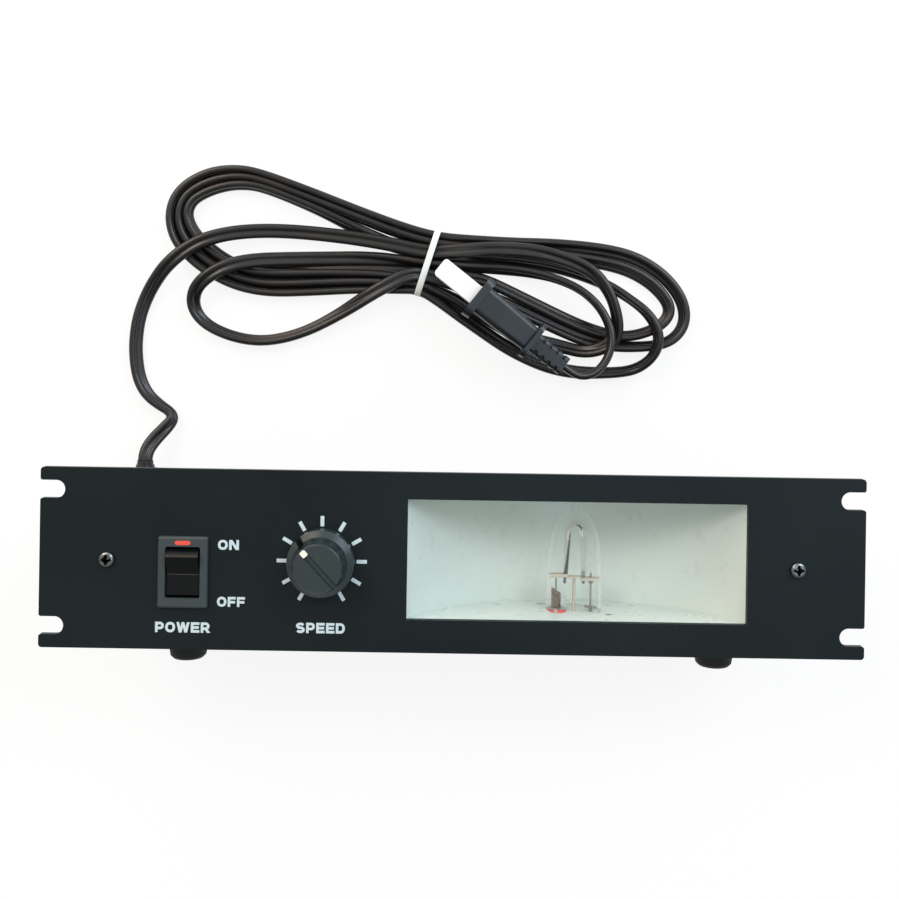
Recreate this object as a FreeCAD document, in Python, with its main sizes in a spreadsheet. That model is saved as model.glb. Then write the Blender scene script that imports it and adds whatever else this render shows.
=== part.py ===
"""Xenon stroboscope: a long rack-style panel on a shallow sheet-steel housing.

The unit lies on its back. +X runs to the right along the panel, +Y is the
unit's own up direction (away from its rubber feet) and +Z points out of the
panel. The origin is on the surface under the housing, at the middle of the
unit's outline. Lengths are in millimetres.
"""
import FreeCAD, Part
import math
import os

import Sketcher
from FreeCAD import Placement, Rotation, Vector

doc = FreeCAD.newDocument("Stroboscope")
sheet = doc.addObject("Spreadsheet::Sheet", "Sizes")

X_AXIS = Vector(1, 0, 0)
Y_AXIS = Vector(0, 1, 0)
Z_AXIS = Vector(0, 0, 1)


# ---------------------------------------------------------------- sizes

class Size:
    """A length together with the sheet expression that gives it."""

    def __init__(self, value, text):
        self.value = float(value)
        self.text = text

    def __float__(self):
        return self.value

    def _joined(self, sign, other, value, swap=False):
        other_text = other.text if isinstance(other, Size) else "%.6g" % other
        pair = (other_text, self.text) if swap else (self.text, other_text)
        return Size(value, "(%s %s %s)" % (pair[0], sign, pair[1]))

    def __add__(self, other):
        return self._joined("+", other, self.value + float(other))

    def __radd__(self, other):
        return self._joined("+", other, float(other) + self.value, swap=True)

    def __sub__(self, other):
        return self._joined("-", other, self.value - float(other))

    def __rsub__(self, other):
        return self._joined("-", other, float(other) - self.value, swap=True)

    def __mul__(self, other):
        return self._joined("*", other, self.value * float(other))

    def __rmul__(self, other):
        return self._joined("*", other, float(other) * self.value, swap=True)

    def __truediv__(self, other):
        return self._joined("/", other, self.value / float(other))

    def __neg__(self):
        return Size(-self.value, "(-1 * %s)" % self.text)


row_count = 0


def dim(alias, value, note):
    """Puts one driving dimension in the sheet and returns it as a Size."""
    global row_count
    row_count += 1
    sheet.set("A%d" % row_count, note)
    sheet.set("B%d" % row_count, "%.6g" % value)
    sheet.setAlias("B%d" % row_count, alias)
    return Size(value, "Sizes.%s" % alias)


# housing and panel
PANEL_W = dim("panel_width", 366.0, "front panel, left to right")
PANEL_H = dim("panel_height", 80.0, "front panel, bottom to top")
PANEL_T = dim("panel_thick", 3.0, "front panel plate")
PANEL_Y = dim("panel_centre_y", 5.3, "panel centre above the origin")
PANEL_CORNER = dim("panel_corner", 1.6, "panel corner radius")
DEPTH = dim("housing_depth", 80.0, "back of the housing to the back of the panel")
SHEET = dim("sheet_thick", 1.2, "steel sheet of the housing")
HOUSE_W = dim("housing_width", 326.0, "housing, left to right")
HOUSE_LOW = dim("housing_bottom", -32.7, "underside of the bottom cover")
HOUSE_TOP = dim("housing_top", 35.3, "top of the housing")
FLANGE = dim("front_flange", 13.8, "width of the chassis front flanges")
BEND = dim("bend_radius", 1.8, "outside radius of the folded edges")
NOTCH_W = dim("notch_width", 8.0, "rack notch, across")
NOTCH_L = dim("notch_depth", 11.0, "rack notch, from the panel edge inwards")
NOTCH_Y = dim("notch_half_pitch", 30.2, "notch centre from the panel centre")
SCREW_X = dim("panel_screw_x", 153.0, "panel screws from the middle")
SCREW_Y = dim("panel_screw_y", 4.8, "panel screws above the origin")
LIP = dim("cover_lip", 10.0, "height of the bottom cover lips")

# window, reflector and lamp
WIN_W = dim("window_width", 151.0, "window, left to right")
WIN_H = dim("window_height", 53.4, "window, bottom to top")
WIN_X = dim("window_x", 55.4, "window centre from the middle")
WIN_Y = dim("window_y", 6.6, "window centre above the origin")
REF_DEEP = dim("reflector_depth", 42.0, "reflector depth behind the panel")
REF_T = dim("reflector_thick", 0.8, "reflector sheet")
LAMP_X = dim("lamp_x", 56.6, "lamp axis from the middle")
LAMP_Z = dim("lamp_z", 58.5, "lamp axis above the housing back")
GLASS_R = dim("glass_radius", 12.7, "lamp dome, outside")
GLASS_T = dim("glass_wall", 0.6, "lamp dome wall")
LAMP_SEAT = dim("lamp_seat_y", -25.1, "lower rim of the lamp dome")
TUBE_R = dim("flash_tube_radius", 1.25, "flash tube, outside")
TUBE_BORE = dim("flash_tube_bore", 0.7, "flash tube bore radius")

BASE_TOP = dim("lamp_base_top", 4.0, "top of the lamp base above the dome's rim")
RING_TOP = dim("seal_ring_top", 5.5, "top of the red ring above the dome's rim")
LEAD_X = dim("lead_x", 7.8, "right lead from the lamp's axis")
SLEEVE_X = dim("left_sleeve_x", 7.75, "left sleeve from the lamp's axis")
SLEEVE_R = dim("left_sleeve_radius", 4.15, "left sleeve, outside")
WIRE_R = dim("lead_radius", 0.45, "lamp leads")
LEFT_LEAD_X = dim("left_lead_x", 8.3, "left lead from the lamp's axis")
LEFT_BAR_TOP = dim("spacer_left_top", 21.45, "top of the spacer's left block")
RIGHT_BAR = dim("spacer_right_low", 18.55, "underside of the spacer's right block")
WEB_TOP = dim("spacer_web_top", 20.4, "top of the spacer's thin middle")
STAR_LOW = dim("star_washer_low", 6.0, "star washer above the dome's rim")
FOIL_END = dim("foil_middle_height", 8.0, "dark foil above the red ring, at its middle")
ROD_R = dim("support_rod_radius", 0.7, "lamp support rod")
ARCH_X = 0.6
ARCH_R = 3.55
ARCH_TOP = 41.4
LEG_FOOT = 19.6

# rocker switch
SWITCH_X = dim("switch_x", -119.15, "switch centre from the middle")
SWITCH_Y = dim("switch_y", -0.3, "switch centre above the origin")
BEZEL_W = dim("bezel_width", 22.3, "switch bezel, left to right")
BEZEL_H = dim("bezel_height", 31.8, "switch bezel, bottom to top")
BEZEL_T = dim("bezel_thick", 2.0, "switch bezel above the panel")
MOUTH_W = dim("rocker_mouth_width", 15.5, "bezel opening, left to right")
MOUTH_H = dim("rocker_mouth_height", 22.8, "bezel opening, bottom to top")
PIVOT_Z = dim("rocker_pivot_z", 78.5, "rocker pivot above the housing back")
ROCK_R = dim("rocker_end_radius", 11.5, "rocker ends, about the pivot")
ROCK_TILT = dim("rocker_tilt", 12.0, "rocker tilt each way, degrees")
PIN_R = dim("rocker_pin_radius", 1.5, "rocker trunnions")

# speed control
KNOB_X = dim("knob_x", -57.85, "knob axis from the middle")
KNOB_Y = dim("knob_y", 5.36, "knob axis above the origin")
SKIRT_R = dim("skirt_radius", 14.8, "knob skirt")
SKIRT_H = dim("skirt_height", 7.0, "knob skirt above the panel")
GRIP_R = dim("grip_radius", 12.2, "foot of the fluted grip")
CAP_R = dim("cap_radius", 10.55, "top of the fluted grip")
KNOB_H = dim("knob_height", 17.0, "knob above the panel")
POINTER = dim("pointer_angle", 43.0, "pointer left of twelve o'clock, degrees")
SHAFT_R = dim("shaft_radius", 3.0, "pot shaft")
GROOVE_TOP = dim("groove_half_width", 1.45, "groove across the cap, at the cap")
GROOVE_LOW = dim("groove_half_floor", 0.8, "groove across the cap, at its floor")
GROOVE_DEEP = dim("groove_depth", 1.3, "groove across the cap")
RUN_GAP = dim("running_gap", 0.05, "radial gap of shafts and pins")

# feet
FOOT_X = dim("foot_x", 122.0, "feet from the middle")
FOOT_FRONT = dim("foot_front_z", 58.0, "front feet above the housing back")
FOOT_REAR = dim("foot_rear_z", 16.0, "rear feet above the housing back")
FOOT_H = dim("foot_height", 12.2, "rubber foot")
FOOT_R1 = dim("foot_top_radius", 9.8, "rubber foot at the cover")
FOOT_R2 = dim("foot_end_radius", 7.8, "rubber foot at its end")
FOOT_RECESS = dim("foot_recess_depth", 7.0, "recess for the foot's screw head")
FOOT_WELL = dim("foot_recess_radius", 4.6, "recess for the foot's screw head")

# circuit board
BOARD_X = dim("board_x", -85.0, "board centre from the middle")
BOARD_Y = dim("board_y", 1.0, "board centre above the origin")
BOARD_W = dim("board_width", 112.0, "board, left to right")
BOARD_H = dim("board_height", 54.0, "board, bottom to top")
BOARD_T = dim("board_thick", 1.6, "board")
FUSE_X = dim("fuse_x", -131.0, "left end of the fuse")
FUSE_R = dim("fuse_radius", 2.6, "fuse")
FUSE_Z = dim("fuse_height", 4.2, "fuse axis above the board")
STAND = dim("standoff_length", 7.0, "standoffs under the board")

# mains cord, plug and tie
EXIT_X = dim("cord_exit_x", -155.8, "cord exit from the middle")
EXIT_Z = dim("cord_exit_z", 13.0, "cord exit above the housing back")
EXIT_Y = dim("cord_exit_y", 40.5, "tip of the cord bushing")
BUSHING_IN = dim("bushing_inner_length", 16.0, "cord bushing, from the sheet inwards")
CORD_R = dim("cord_radius", 2.8, "round tube of the flat cord's section area")
HANK_T = dim("hank_height", 9.0, "height of the tied hank")
PLUG_X = dim("plug_face_x", 9.6, "plug face centre")
PLUG_Y = dim("plug_face_y", 126.0, "plug face centre")
PLUG_Z = dim("plug_face_z", 22.0, "plug face centre")
PLUG_TURN = dim("plug_turn", -38.0, "plug axis from +X, degrees")
PLUG_END = 56.0
BLADE_PITCH = dim("blade_pitch", 12.7, "plug blades, centre to centre")
BLADE_L = dim("blade_length", 17.0, "plug blades, from the face")
BLADE_W = dim("blade_width", 6.35, "plug blades, across")
BLADE_T = dim("blade_thick", 1.5, "plug blades, thickness")
COVER_L = dim("blade_cover_length", 22.9, "white blade cover, from the face")
COVER_W = dim("blade_cover_width", 9.8, "white blade cover, across")
COVER_H = dim("blade_cover_height", 17.0, "white blade cover, over both blades")
TIE_W = dim("tie_width", 3.2, "tie, along the cord")
TIE_T = dim("tie_thick", 0.8, "tie strap")
TIE_SPAN = dim("tie_span", 36.6, "inside of the tie, across the hank")
TIE_MIDDLE = (-15.0, 142.6)
TIE_TURN = 72.9

# screws and the holes they share, as radii
M3 = dim("m3_radius", 1.5, "M3 thread and its holes")
M4 = dim("m4_radius", 2.0, "M4 thread")
M4_FREE = dim("m4_clearance_radius", 2.1, "M4 clearance hole")
CORD_HOLE = dim("cord_hole_radius", 4.9, "hole for the cord bushing")
POT_HOLE = dim("pot_hole_radius", 5.0, "panel hole for the speed control")
POT_THREAD = dim("pot_thread_radius", 4.75, "thread of the speed control")
SWITCH_CUT_W = dim("switch_cutout_half_width", 9.8, "panel cutout, half its width")
SWITCH_CUT_H = dim("switch_cutout_half_height", 14.3, "panel cutout, half its height")
SWITCH_BOX_H = dim("switch_box_half_height", 14.1, "switch housing, half its height")
SWITCH_DEEP = dim("switch_depth", 31.0, "switch housing behind the panel's front")

doc.recompute()

PANEL_FRONT = DEPTH + PANEL_T
BEZEL_FRONT = PANEL_FRONT + BEZEL_T
BOARD_FACE = SHEET + STAND + BOARD_T
WIN_LOW = WIN_Y - WIN_H / 2
WIN_TOP = WIN_Y + WIN_H / 2
COVER_IN = HOUSE_LOW + SHEET
TOP_IN = HOUSE_TOP - SHEET
FOOT_SPOTS = [(side * FOOT_X, z) for side in (-1, 1) for z in (FOOT_FRONT, FOOT_REAR)]
REFLECTOR_SCREWS = [(WIN_X + x, z) for x, z in ((-62, 71.0), (62, 71.0), (-26, 50.0), (26, 50.0))]
COVER_SCREW_Y = COVER_IN + LIP / 2
COVER_SCREW_Z = (18.0, 62.0)
SOCKET_SCREWS = [(LAMP_X + 15, LAMP_Z + 9.4), (LAMP_X - 15, LAMP_Z - 9.4)]
LAMP_PINS = ((-6.0, -3.5), (6.0, -3.5), (0.0, 7.0))
BOARD_CORNERS = [(BOARD_X + sx * (BOARD_W / 2 - 4), BOARD_Y + sy * (BOARD_H / 2 - 4))
                 for sx in (-1, 1) for sy in (-1, 1)]


# ---------------------------------------------------------------- helpers

def bind(obj, prop, value):
    """Ties one property to a Size, or leaves a plain number as it is."""
    if isinstance(value, Size):
        obj.setExpression(prop, value.text)


def place(obj, spot, rotation=Rotation()):
    """Puts an object at a spot whose three coordinates may be Sizes."""
    obj.Placement = Placement(Vector(*[float(c) for c in spot]), rotation)
    for letter, coordinate in zip("xyz", spot):
        bind(obj, "Placement.Base.%s" % letter, coordinate)
    return obj


def box(name, low, size):
    """A block from its lowest corner, with its three sides."""
    block = doc.addObject("Part::Box", name)
    for prop, side in zip(("Length", "Width", "Height"), size):
        setattr(block, prop, float(side))
        bind(block, prop, side)
    return place(block, low)


def span(name, x_pair, y_pair, z_pair):
    """A block between two values on each axis."""
    low = [pair[0] for pair in (x_pair, y_pair, z_pair)]
    size = [pair[1] - pair[0] for pair in (x_pair, y_pair, z_pair)]
    return box(name, low, size)


def rod(name, foot, axis, radius, height):
    """A cylinder from the centre of its foot along an axis."""
    cylinder = doc.addObject("Part::Cylinder", name)
    cylinder.Radius = float(radius)
    cylinder.Height = float(height)
    bind(cylinder, "Radius", radius)
    bind(cylinder, "Height", height)
    return place(cylinder, foot, Rotation(Z_AXIS, axis))


def cone(name, foot, axis, radius_1, radius_2, height):
    """A cone or frustum from the centre of its foot along an axis."""
    frustum = doc.addObject("Part::Cone", name)
    for prop, value in (("Radius1", radius_1), ("Radius2", radius_2), ("Height", height)):
        setattr(frustum, prop, float(value))
        bind(frustum, prop, value)
    return place(frustum, foot, Rotation(Z_AXIS, axis))


def fuse(name, pieces):
    joined = doc.addObject("Part::MultiFuse", name)
    joined.Shapes = pieces
    joined.Refine = True
    return joined


def cut(name, base, tools):
    """Base less one or more tools."""
    result = doc.addObject("Part::Cut", name)
    result.Base = base
    result.Tool = tools[0] if len(tools) == 1 else fuse(name + "_tools", tools)
    return result


def common(name, first, second):
    shared = doc.addObject("Part::Common", name)
    shared.Base = first
    shared.Tool = second
    return shared


def group(name, pieces):
    """Separate solids that share one node."""
    together = doc.addObject("Part::Compound", name)
    together.Links = pieces
    return together


def copies(name, master, placements):
    """Copies of a finished master, one for each placement."""
    doc.recompute()
    node = doc.addObject("Part::Feature", name)
    shapes = []
    for placement in placements:
        shape = master.Shape.copy()
        shape.Placement = placement.multiply(master.Placement)
        shapes.append(shape)
    node.Shape = Part.makeCompound(shapes)
    node.Placement = Placement()
    return node


def new_body(name):
    body = doc.addObject("PartDesign::Body", name)
    return body


def new_sketch(body, plane, level=0.0):
    """A sketch on one of the body's own planes, moved along its normal."""
    sketch = body.newObject("Sketcher::SketchObject", body.Name + "_sketch")
    role = plane + "_Plane"
    origin_plane = [f for f in body.Origin.OriginFeatures if f.Role == role][0]
    sketch.AttachmentSupport = [(origin_plane, "")]
    sketch.MapMode = "FlatFace"
    sketch.AttachmentOffset = Placement(Vector(0, 0, float(level)), Rotation())
    bind(sketch, "AttachmentOffset.Base.z", level)
    return sketch


def pin_point(sketch, geometry, point, x, y):
    """Fixes one point of a sketch by its two distances from the origin."""
    for kind, value in (("DistanceX", x), ("DistanceY", y)):
        index = sketch.addConstraint(
            Sketcher.Constraint(kind, -1, 1, geometry, point, float(value)))
        bind(sketch, "Constraints[%d]" % index, value)


def polygon(sketch, points):
    """A closed outline of straight edges through the points."""
    first = sketch.GeometryCount
    corners = [Vector(float(x), float(y), 0) for x, y in points]
    count = len(points)
    for i in range(count):
        sketch.addGeometry(Part.LineSegment(corners[i], corners[(i + 1) % count]), False)
    for i in range(count):
        following = first + (i + 1) % count
        sketch.addConstraint(Sketcher.Constraint("Coincident", first + i, 2, following, 1))
    for i, (x, y) in enumerate(points):
        pin_point(sketch, first + i, 1, x, y)


def rectangle(sketch, x_pair, y_pair):
    polygon(sketch, [(x_pair[0], y_pair[0]), (x_pair[1], y_pair[0]),
                     (x_pair[1], y_pair[1]), (x_pair[0], y_pair[1])])


def circle(sketch, x, y, radius):
    centre = Vector(float(x), float(y), 0)
    index = sketch.addGeometry(Part.Circle(centre, Z_AXIS, float(radius)), False)
    pin_point(sketch, index, 3, x, y)
    rule = sketch.addConstraint(Sketcher.Constraint("Radius", index, float(radius)))
    bind(sketch, "Constraints[%d]" % rule, radius)


def pad(body, sketch, length):
    feature = body.newObject("PartDesign::Pad", body.Name + "_pad")
    feature.Profile = sketch
    feature.Length = float(length)
    bind(feature, "Length", length)
    doc.recompute()
    return feature


def pocket(body, sketch, length, reverse=False, both_ways=False):
    """A pocket that has to take material away."""
    before = body.Shape.Volume
    feature = body.newObject("PartDesign::Pocket", body.Name + "_pocket")
    feature.Profile = sketch
    feature.Length = float(length)
    feature.Reversed = reverse
    feature.Midplane = both_ways
    bind(feature, "Length", length)
    doc.recompute()
    if body.Shape.Volume > before - 1e-3:
        raise RuntimeError("a pocket of %s cuts nothing" % body.Name)
    return feature


def revolve(body, sketch):
    """A full turn of the sketch about its own vertical axis."""
    feature = body.newObject("PartDesign::Revolution", body.Name + "_revolution")
    feature.Profile = sketch
    feature.ReferenceAxis = (sketch, ["V_Axis"])
    feature.Angle = 360.0
    doc.recompute()
    return feature


def round_edges(body, radius, wanted):
    """Fillets every edge of the body whose middle passes the wanted test."""
    base = body.Tip
    names = []
    for i, edge in enumerate(base.Shape.Edges):
        if wanted(edge):
            names.append("Edge%d" % (i + 1))
    feature = body.newObject("PartDesign::Fillet", body.Name + "_fillet")
    feature.Base = (base, names)
    feature.Radius = float(radius)
    bind(feature, "Radius", radius)
    doc.recompute()
    return feature


def runs_along(edge, axis):
    """True for a straight edge parallel to the axis."""
    if len(edge.Vertexes) != 2 or edge.Curve.TypeId != "Part::GeomLine":
        return False
    direction = edge.Vertexes[1].Point - edge.Vertexes[0].Point
    return abs(direction.normalize().dot(axis)) > 0.999


def middle(edge):
    return edge.Vertexes[0].Point.add(edge.Vertexes[-1].Point).multiply(0.5)


def near(a, b, tolerance=0.01):
    return abs(a - float(b)) < tolerance


def rounded_path(points):
    """Straight runs joined by tangent arcs, each as large as its runs allow."""
    spots = [Vector(*[float(c) for c in p]) for p in points]
    edges = []
    radii = []
    start = spots[0]
    for before, corner, after in zip(spots, spots[1:], spots[2:]):
        run_in = corner - before
        run_out = after - corner
        shorter = min(run_in.Length, run_out.Length)
        run_in = run_in.normalize()
        run_out = run_out.normalize()
        setback = 0.45 * shorter
        half_turn = run_in.getAngle(run_out) / 2
        radii.append(setback / math.tan(half_turn))
        arc_start = corner - run_in * setback
        arc_end = corner + run_out * setback
        inward = (run_out - run_in).normalize()
        reach = radii[-1] * (1 / math.cos(half_turn) - 1)
        edges.append(Part.LineSegment(start, arc_start).toShape())
        edges.append(Part.Arc(arc_start, corner + inward * reach, arc_end).toShape())
        start = arc_end
    edges.append(Part.LineSegment(start, spots[-1]).toShape())
    return Part.Wire(edges), radii


def flexible_tube(name, points, radius):
    """A round tube along a rounded path, checked against its own length."""
    path, radii = rounded_path(points)
    section = Part.Wire(Part.Circle(path.Vertexes[0].Point,
                                    path.Edges[0].tangentAt(path.Edges[0].FirstParameter),
                                    float(radius)).toShape())
    solid = path.makePipeShell([section], True, True)
    expected = math.pi * float(radius) ** 2 * path.Length
    print("%s: length %.1f, radii %s, volume ratio %.4f" % (
        name, path.Length, " ".join("%.1f" % r for r in radii), solid.Volume / expected))
    if abs(solid.Volume / expected - 1) > 0.01:
        raise RuntimeError("%s has the wrong volume" % name)
    return solid


# ---------------------------------------------------------------- panel and housing

def front_panel():
    """Flat plate with four open rack notches, a window and the control holes."""
    body = new_body("front_panel")
    half = PANEL_W / 2
    low = PANEL_Y - PANEL_H / 2
    top = PANEL_Y + PANEL_H / 2
    sketch = new_sketch(body, "XY", DEPTH)
    rectangle(sketch, (-half, half), (low, top))
    pad(body, sketch, PANEL_T)

    # the notches are open at the panel's ends and half round inside
    mouth = 2.0
    sides = new_sketch(body, "XY", PANEL_FRONT)
    ends = new_sketch(body, "XY", PANEL_FRONT)
    for side in (-1, 1):
        for level in (PANEL_Y - NOTCH_Y, PANEL_Y + NOTCH_Y):
            inner = (half - NOTCH_L + NOTCH_W / 2) * side
            outer = (half + mouth) * side
            pair = (inner, outer) if side > 0 else (outer, inner)
            rectangle(sides, pair, (level - NOTCH_W / 2, level + NOTCH_W / 2))
            circle(ends, inner, level, NOTCH_W / 2)
    pocket(body, sides, PANEL_T)
    pocket(body, ends, PANEL_T)

    window = new_sketch(body, "XY", PANEL_FRONT)
    rectangle(window, (WIN_X - WIN_W / 2, WIN_X + WIN_W / 2), (WIN_LOW, WIN_TOP))
    pocket(body, window, PANEL_T)

    holes = new_sketch(body, "XY", PANEL_FRONT)
    rectangle(holes, (SWITCH_X - SWITCH_CUT_W, SWITCH_X + SWITCH_CUT_W),
              (SWITCH_Y - SWITCH_CUT_H, SWITCH_Y + SWITCH_CUT_H))
    circle(holes, KNOB_X, KNOB_Y, POT_HOLE)
    circle(holes, -SCREW_X, SCREW_Y, M4_FREE)
    circle(holes, SCREW_X, SCREW_Y, M4_FREE)
    pocket(body, holes, PANEL_T)

    def outer_corner(edge):
        spot = middle(edge)
        at_end = near(abs(spot.x), half)
        at_level = near(spot.y, low) or near(spot.y, top)
        return runs_along(edge, Z_AXIS) and at_end and at_level

    def notch_mouth(edge):
        spot = middle(edge)
        at_end = near(abs(spot.x), half)
        inside = float(low) + 1 < spot.y < float(top) - 1
        return runs_along(edge, Z_AXIS) and at_end and inside

    round_edges(body, PANEL_CORNER, outer_corner)
    round_edges(body, 1.0, notch_mouth)
    return body


def chassis():
    """Back, top and two sides folded from one sheet, open below and in front."""
    body = new_body("chassis")
    half = HOUSE_W / 2
    block = new_sketch(body, "XY")
    rectangle(block, (-half, half), (COVER_IN, HOUSE_TOP))
    pad(body, block, DEPTH)

    def back_edge(edge):
        spot = middle(edge)
        behind = near(spot.z, 0)
        return behind and (near(spot.y, HOUSE_TOP) or near(abs(spot.x), half))

    def top_side_edge(edge):
        spot = middle(edge)
        return runs_along(edge, Z_AXIS) and near(spot.y, HOUSE_TOP)

    round_edges(body, BEND, lambda edge: back_edge(edge) or top_side_edge(edge))

    inside = new_sketch(body, "XY", DEPTH)
    rectangle(inside, (SHEET - half, half - SHEET), (COVER_IN - 1, TOP_IN))
    pocket(body, inside, DEPTH - SHEET)

    flanges = new_sketch(body, "XY", DEPTH - SHEET)
    rectangle(flanges, (SHEET - half, SHEET - half + FLANGE), (COVER_IN, TOP_IN))
    rectangle(flanges, (half - SHEET - FLANGE, half - SHEET), (COVER_IN, TOP_IN))
    pad(body, flanges, SHEET)

    tapped = new_sketch(body, "XY", DEPTH)
    circle(tapped, -SCREW_X, SCREW_Y, M4)
    circle(tapped, SCREW_X, SCREW_Y, M4)
    pocket(body, tapped, SHEET)

    # the sketch's own axes on this plane are X and Z, and its normal is -Y
    exit_hole = new_sketch(body, "XZ", -HOUSE_TOP)
    circle(exit_hole, EXIT_X, EXIT_Z, CORD_HOLE)
    for x, z in REFLECTOR_SCREWS:
        circle(exit_hole, x, z, M3)
    pocket(body, exit_hole, SHEET, reverse=True)

    side_holes = new_sketch(body, "YZ", half)
    for z in COVER_SCREW_Z:
        circle(side_holes, COVER_SCREW_Y, z, M3)
    pocket(body, side_holes, HOUSE_W)
    return body


def bottom_cover():
    """Flat plate that carries the feet, with a lip inside each side wall."""
    body = new_body("bottom_cover")
    half = HOUSE_W / 2
    plate = new_sketch(body, "XZ", -COVER_IN)
    rectangle(plate, (-half, half), (0.0, DEPTH))
    pad(body, plate, SHEET)
    lips = new_sketch(body, "XZ", -(COVER_IN + LIP))
    for side in (-1, 1):
        inner = (half - SHEET * 2) * side
        outer = (half - SHEET) * side
        pair = (inner, outer) if side > 0 else (outer, inner)
        rectangle(lips, pair, (3.0, DEPTH - 4))
    pad(body, lips, LIP)

    foot_holes = new_sketch(body, "XZ", -HOUSE_LOW)
    for x, z in FOOT_SPOTS:
        circle(foot_holes, x, z, M4_FREE)
    pocket(body, foot_holes, SHEET)

    lip_holes = new_sketch(body, "YZ", half)
    for z in COVER_SCREW_Z:
        circle(lip_holes, COVER_SCREW_Y, z, M3)
    pocket(body, lip_holes, HOUSE_W)
    return body


# ---------------------------------------------------------------- fasteners

def pan_screw(name, shank_radius, shank_length, head_radius, head_height):
    """One pan-head screw with a deep cross recess, its head on the origin plane."""
    shank = rod(name + "_shank", (0, 0, -shank_length), Z_AXIS, shank_radius, shank_length)
    head = rod(name + "_head", (0, 0, 0), Z_AXIS, head_radius, head_height)
    doc.recompute()
    crown = doc.addObject("Part::Fillet", name + "_crown")
    crown.Base = head
    top_edges = [i + 1 for i, edge in enumerate(head.Shape.Edges)
                 if edge.Curve.TypeId == "Part::GeomCircle" and middle(edge).z > 0.1]
    crown.Edges = [(i, 0.6 * head_height, 0.6 * head_height) for i in top_edges]
    whole = fuse(name + "_whole", [shank, crown])
    arm = 0.66 * head_radius
    slot = 0.19 * head_radius
    level = 0.25 * head_height
    heart = cone(name + "_heart", (0, 0, -level), Z_AXIS, 0.1 * head_radius,
                 0.46 * head_radius, head_height + level)
    recess = [span(name + "_arm_x", (-arm, arm), (-slot, slot), (level, head_height + 1)),
              span(name + "_arm_y", (-slot, slot), (-arm, arm), (level, head_height + 1)), heart]
    return cut(name, whole, recess)


def facing(spot, axis):
    """Placement that puts a part's own +Z along an axis."""
    return Placement(Vector(*[float(c) for c in spot]), Rotation(Z_AXIS, axis))


def panel_screws():
    master = pan_screw("panel_screw", M4, 10.0, 3.5, 2.2)
    return copies("panel_screws", master,
                  [facing((side * SCREW_X, SCREW_Y, PANEL_FRONT), Z_AXIS) for side in (-1, 1)])


def cover_screws():
    master = pan_screw("cover_screw", M3, 4.5, 2.8, 1.7)
    places = []
    for side in (-1, 1):
        for z in COVER_SCREW_Z:
            places.append(facing((side * HOUSE_W / 2, COVER_SCREW_Y, z), X_AXIS * side))
    return copies("cover_screws", master, places)


def reflector_screws():
    master = pan_screw("reflector_screw", M3, 2.0, 2.8, 1.7)
    places = [facing((x, HOUSE_TOP, z), Y_AXIS) for x, z in REFLECTOR_SCREWS]
    return copies("reflector_screws", master, places)


def foot_screws():
    master = pan_screw("foot_screw", M4, 12.0, 3.8, 2.4)
    level = HOUSE_LOW - FOOT_H + FOOT_RECESS
    places = [facing((x, level, z), -Y_AXIS) for x, z in FOOT_SPOTS]
    return copies("foot_screws", master, places)


def foot_nuts():
    """Hexagon nuts on the inner face of the bottom cover."""
    outside = doc.addObject("Part::Prism", "foot_nut_outside")
    outside.Polygon = 6
    outside.Circumradius = 4.04
    outside.Height = 3.2
    master = cut("foot_nut", outside, [rod("foot_nut_bore", (0, 0, 0), Z_AXIS, M4, 3.2)])
    places = [facing((x, COVER_IN, z), Y_AXIS) for x, z in FOOT_SPOTS]
    return copies("foot_nuts", master, places)


def rubber_feet():
    """Tapered feet with a rounded end and a recess for the screw head."""
    body = new_body("rubber_foot")
    sketch = new_sketch(body, "XZ")
    seat = FOOT_H - FOOT_RECESS
    polygon(sketch, [(M4_FREE, 0.0), (FOOT_R1, 0.0), (FOOT_R1, 2.0), (FOOT_R2 + 0.4, FOOT_H - 1.2),
                     (FOOT_R2 - 0.8, FOOT_H), (FOOT_WELL, FOOT_H), (FOOT_WELL, seat),
                     (M4_FREE, seat)])
    revolve(body, sketch)
    places = [facing((x, HOUSE_LOW, z), -Y_AXIS) for x, z in FOOT_SPOTS]
    return copies("rubber_feet", body, places)


# ---------------------------------------------------------------- reflector

def reflector_radius():
    """Radius of the back wall that meets both ends of the window."""
    half = WIN_W / 2
    return (half * half + REF_DEEP * REF_DEEP) / (REF_DEEP * 2)


def reflector_axis_z():
    return DEPTH - REF_DEEP + reflector_radius()


def reflector_back():
    """Curved back wall, one bent sheet from one end of the window to the other."""
    radius = reflector_radius()
    foot = (WIN_X, WIN_LOW, reflector_axis_z())
    outer = rod("reflector_back_outer", foot, Y_AXIS, radius + REF_T, WIN_H)
    inner = rod("reflector_back_inner", foot, Y_AXIS, radius, WIN_H)
    ring = cut("reflector_back_ring", outer, [inner])
    keep = span("reflector_back_keep", (WIN_X - WIN_W / 2 - 4, WIN_X + WIN_W / 2 + 4),
                (WIN_LOW, WIN_TOP), (DEPTH - REF_DEEP - 4, DEPTH))
    return common("reflector_back", ring, keep)


def reflector_plate(name, low):
    """A D-shaped plate that closes the curved wall above or below."""
    disc = rod(name + "_disc", (WIN_X, low, reflector_axis_z()), Y_AXIS,
               reflector_radius() + REF_T, REF_T)
    keep = span(name + "_keep", (WIN_X - WIN_W / 2 - 4, WIN_X + WIN_W / 2 + 4),
                (low, low + REF_T), (DEPTH - REF_DEEP - 4, DEPTH))
    return common(name + "_plate", disc, keep)


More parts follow.
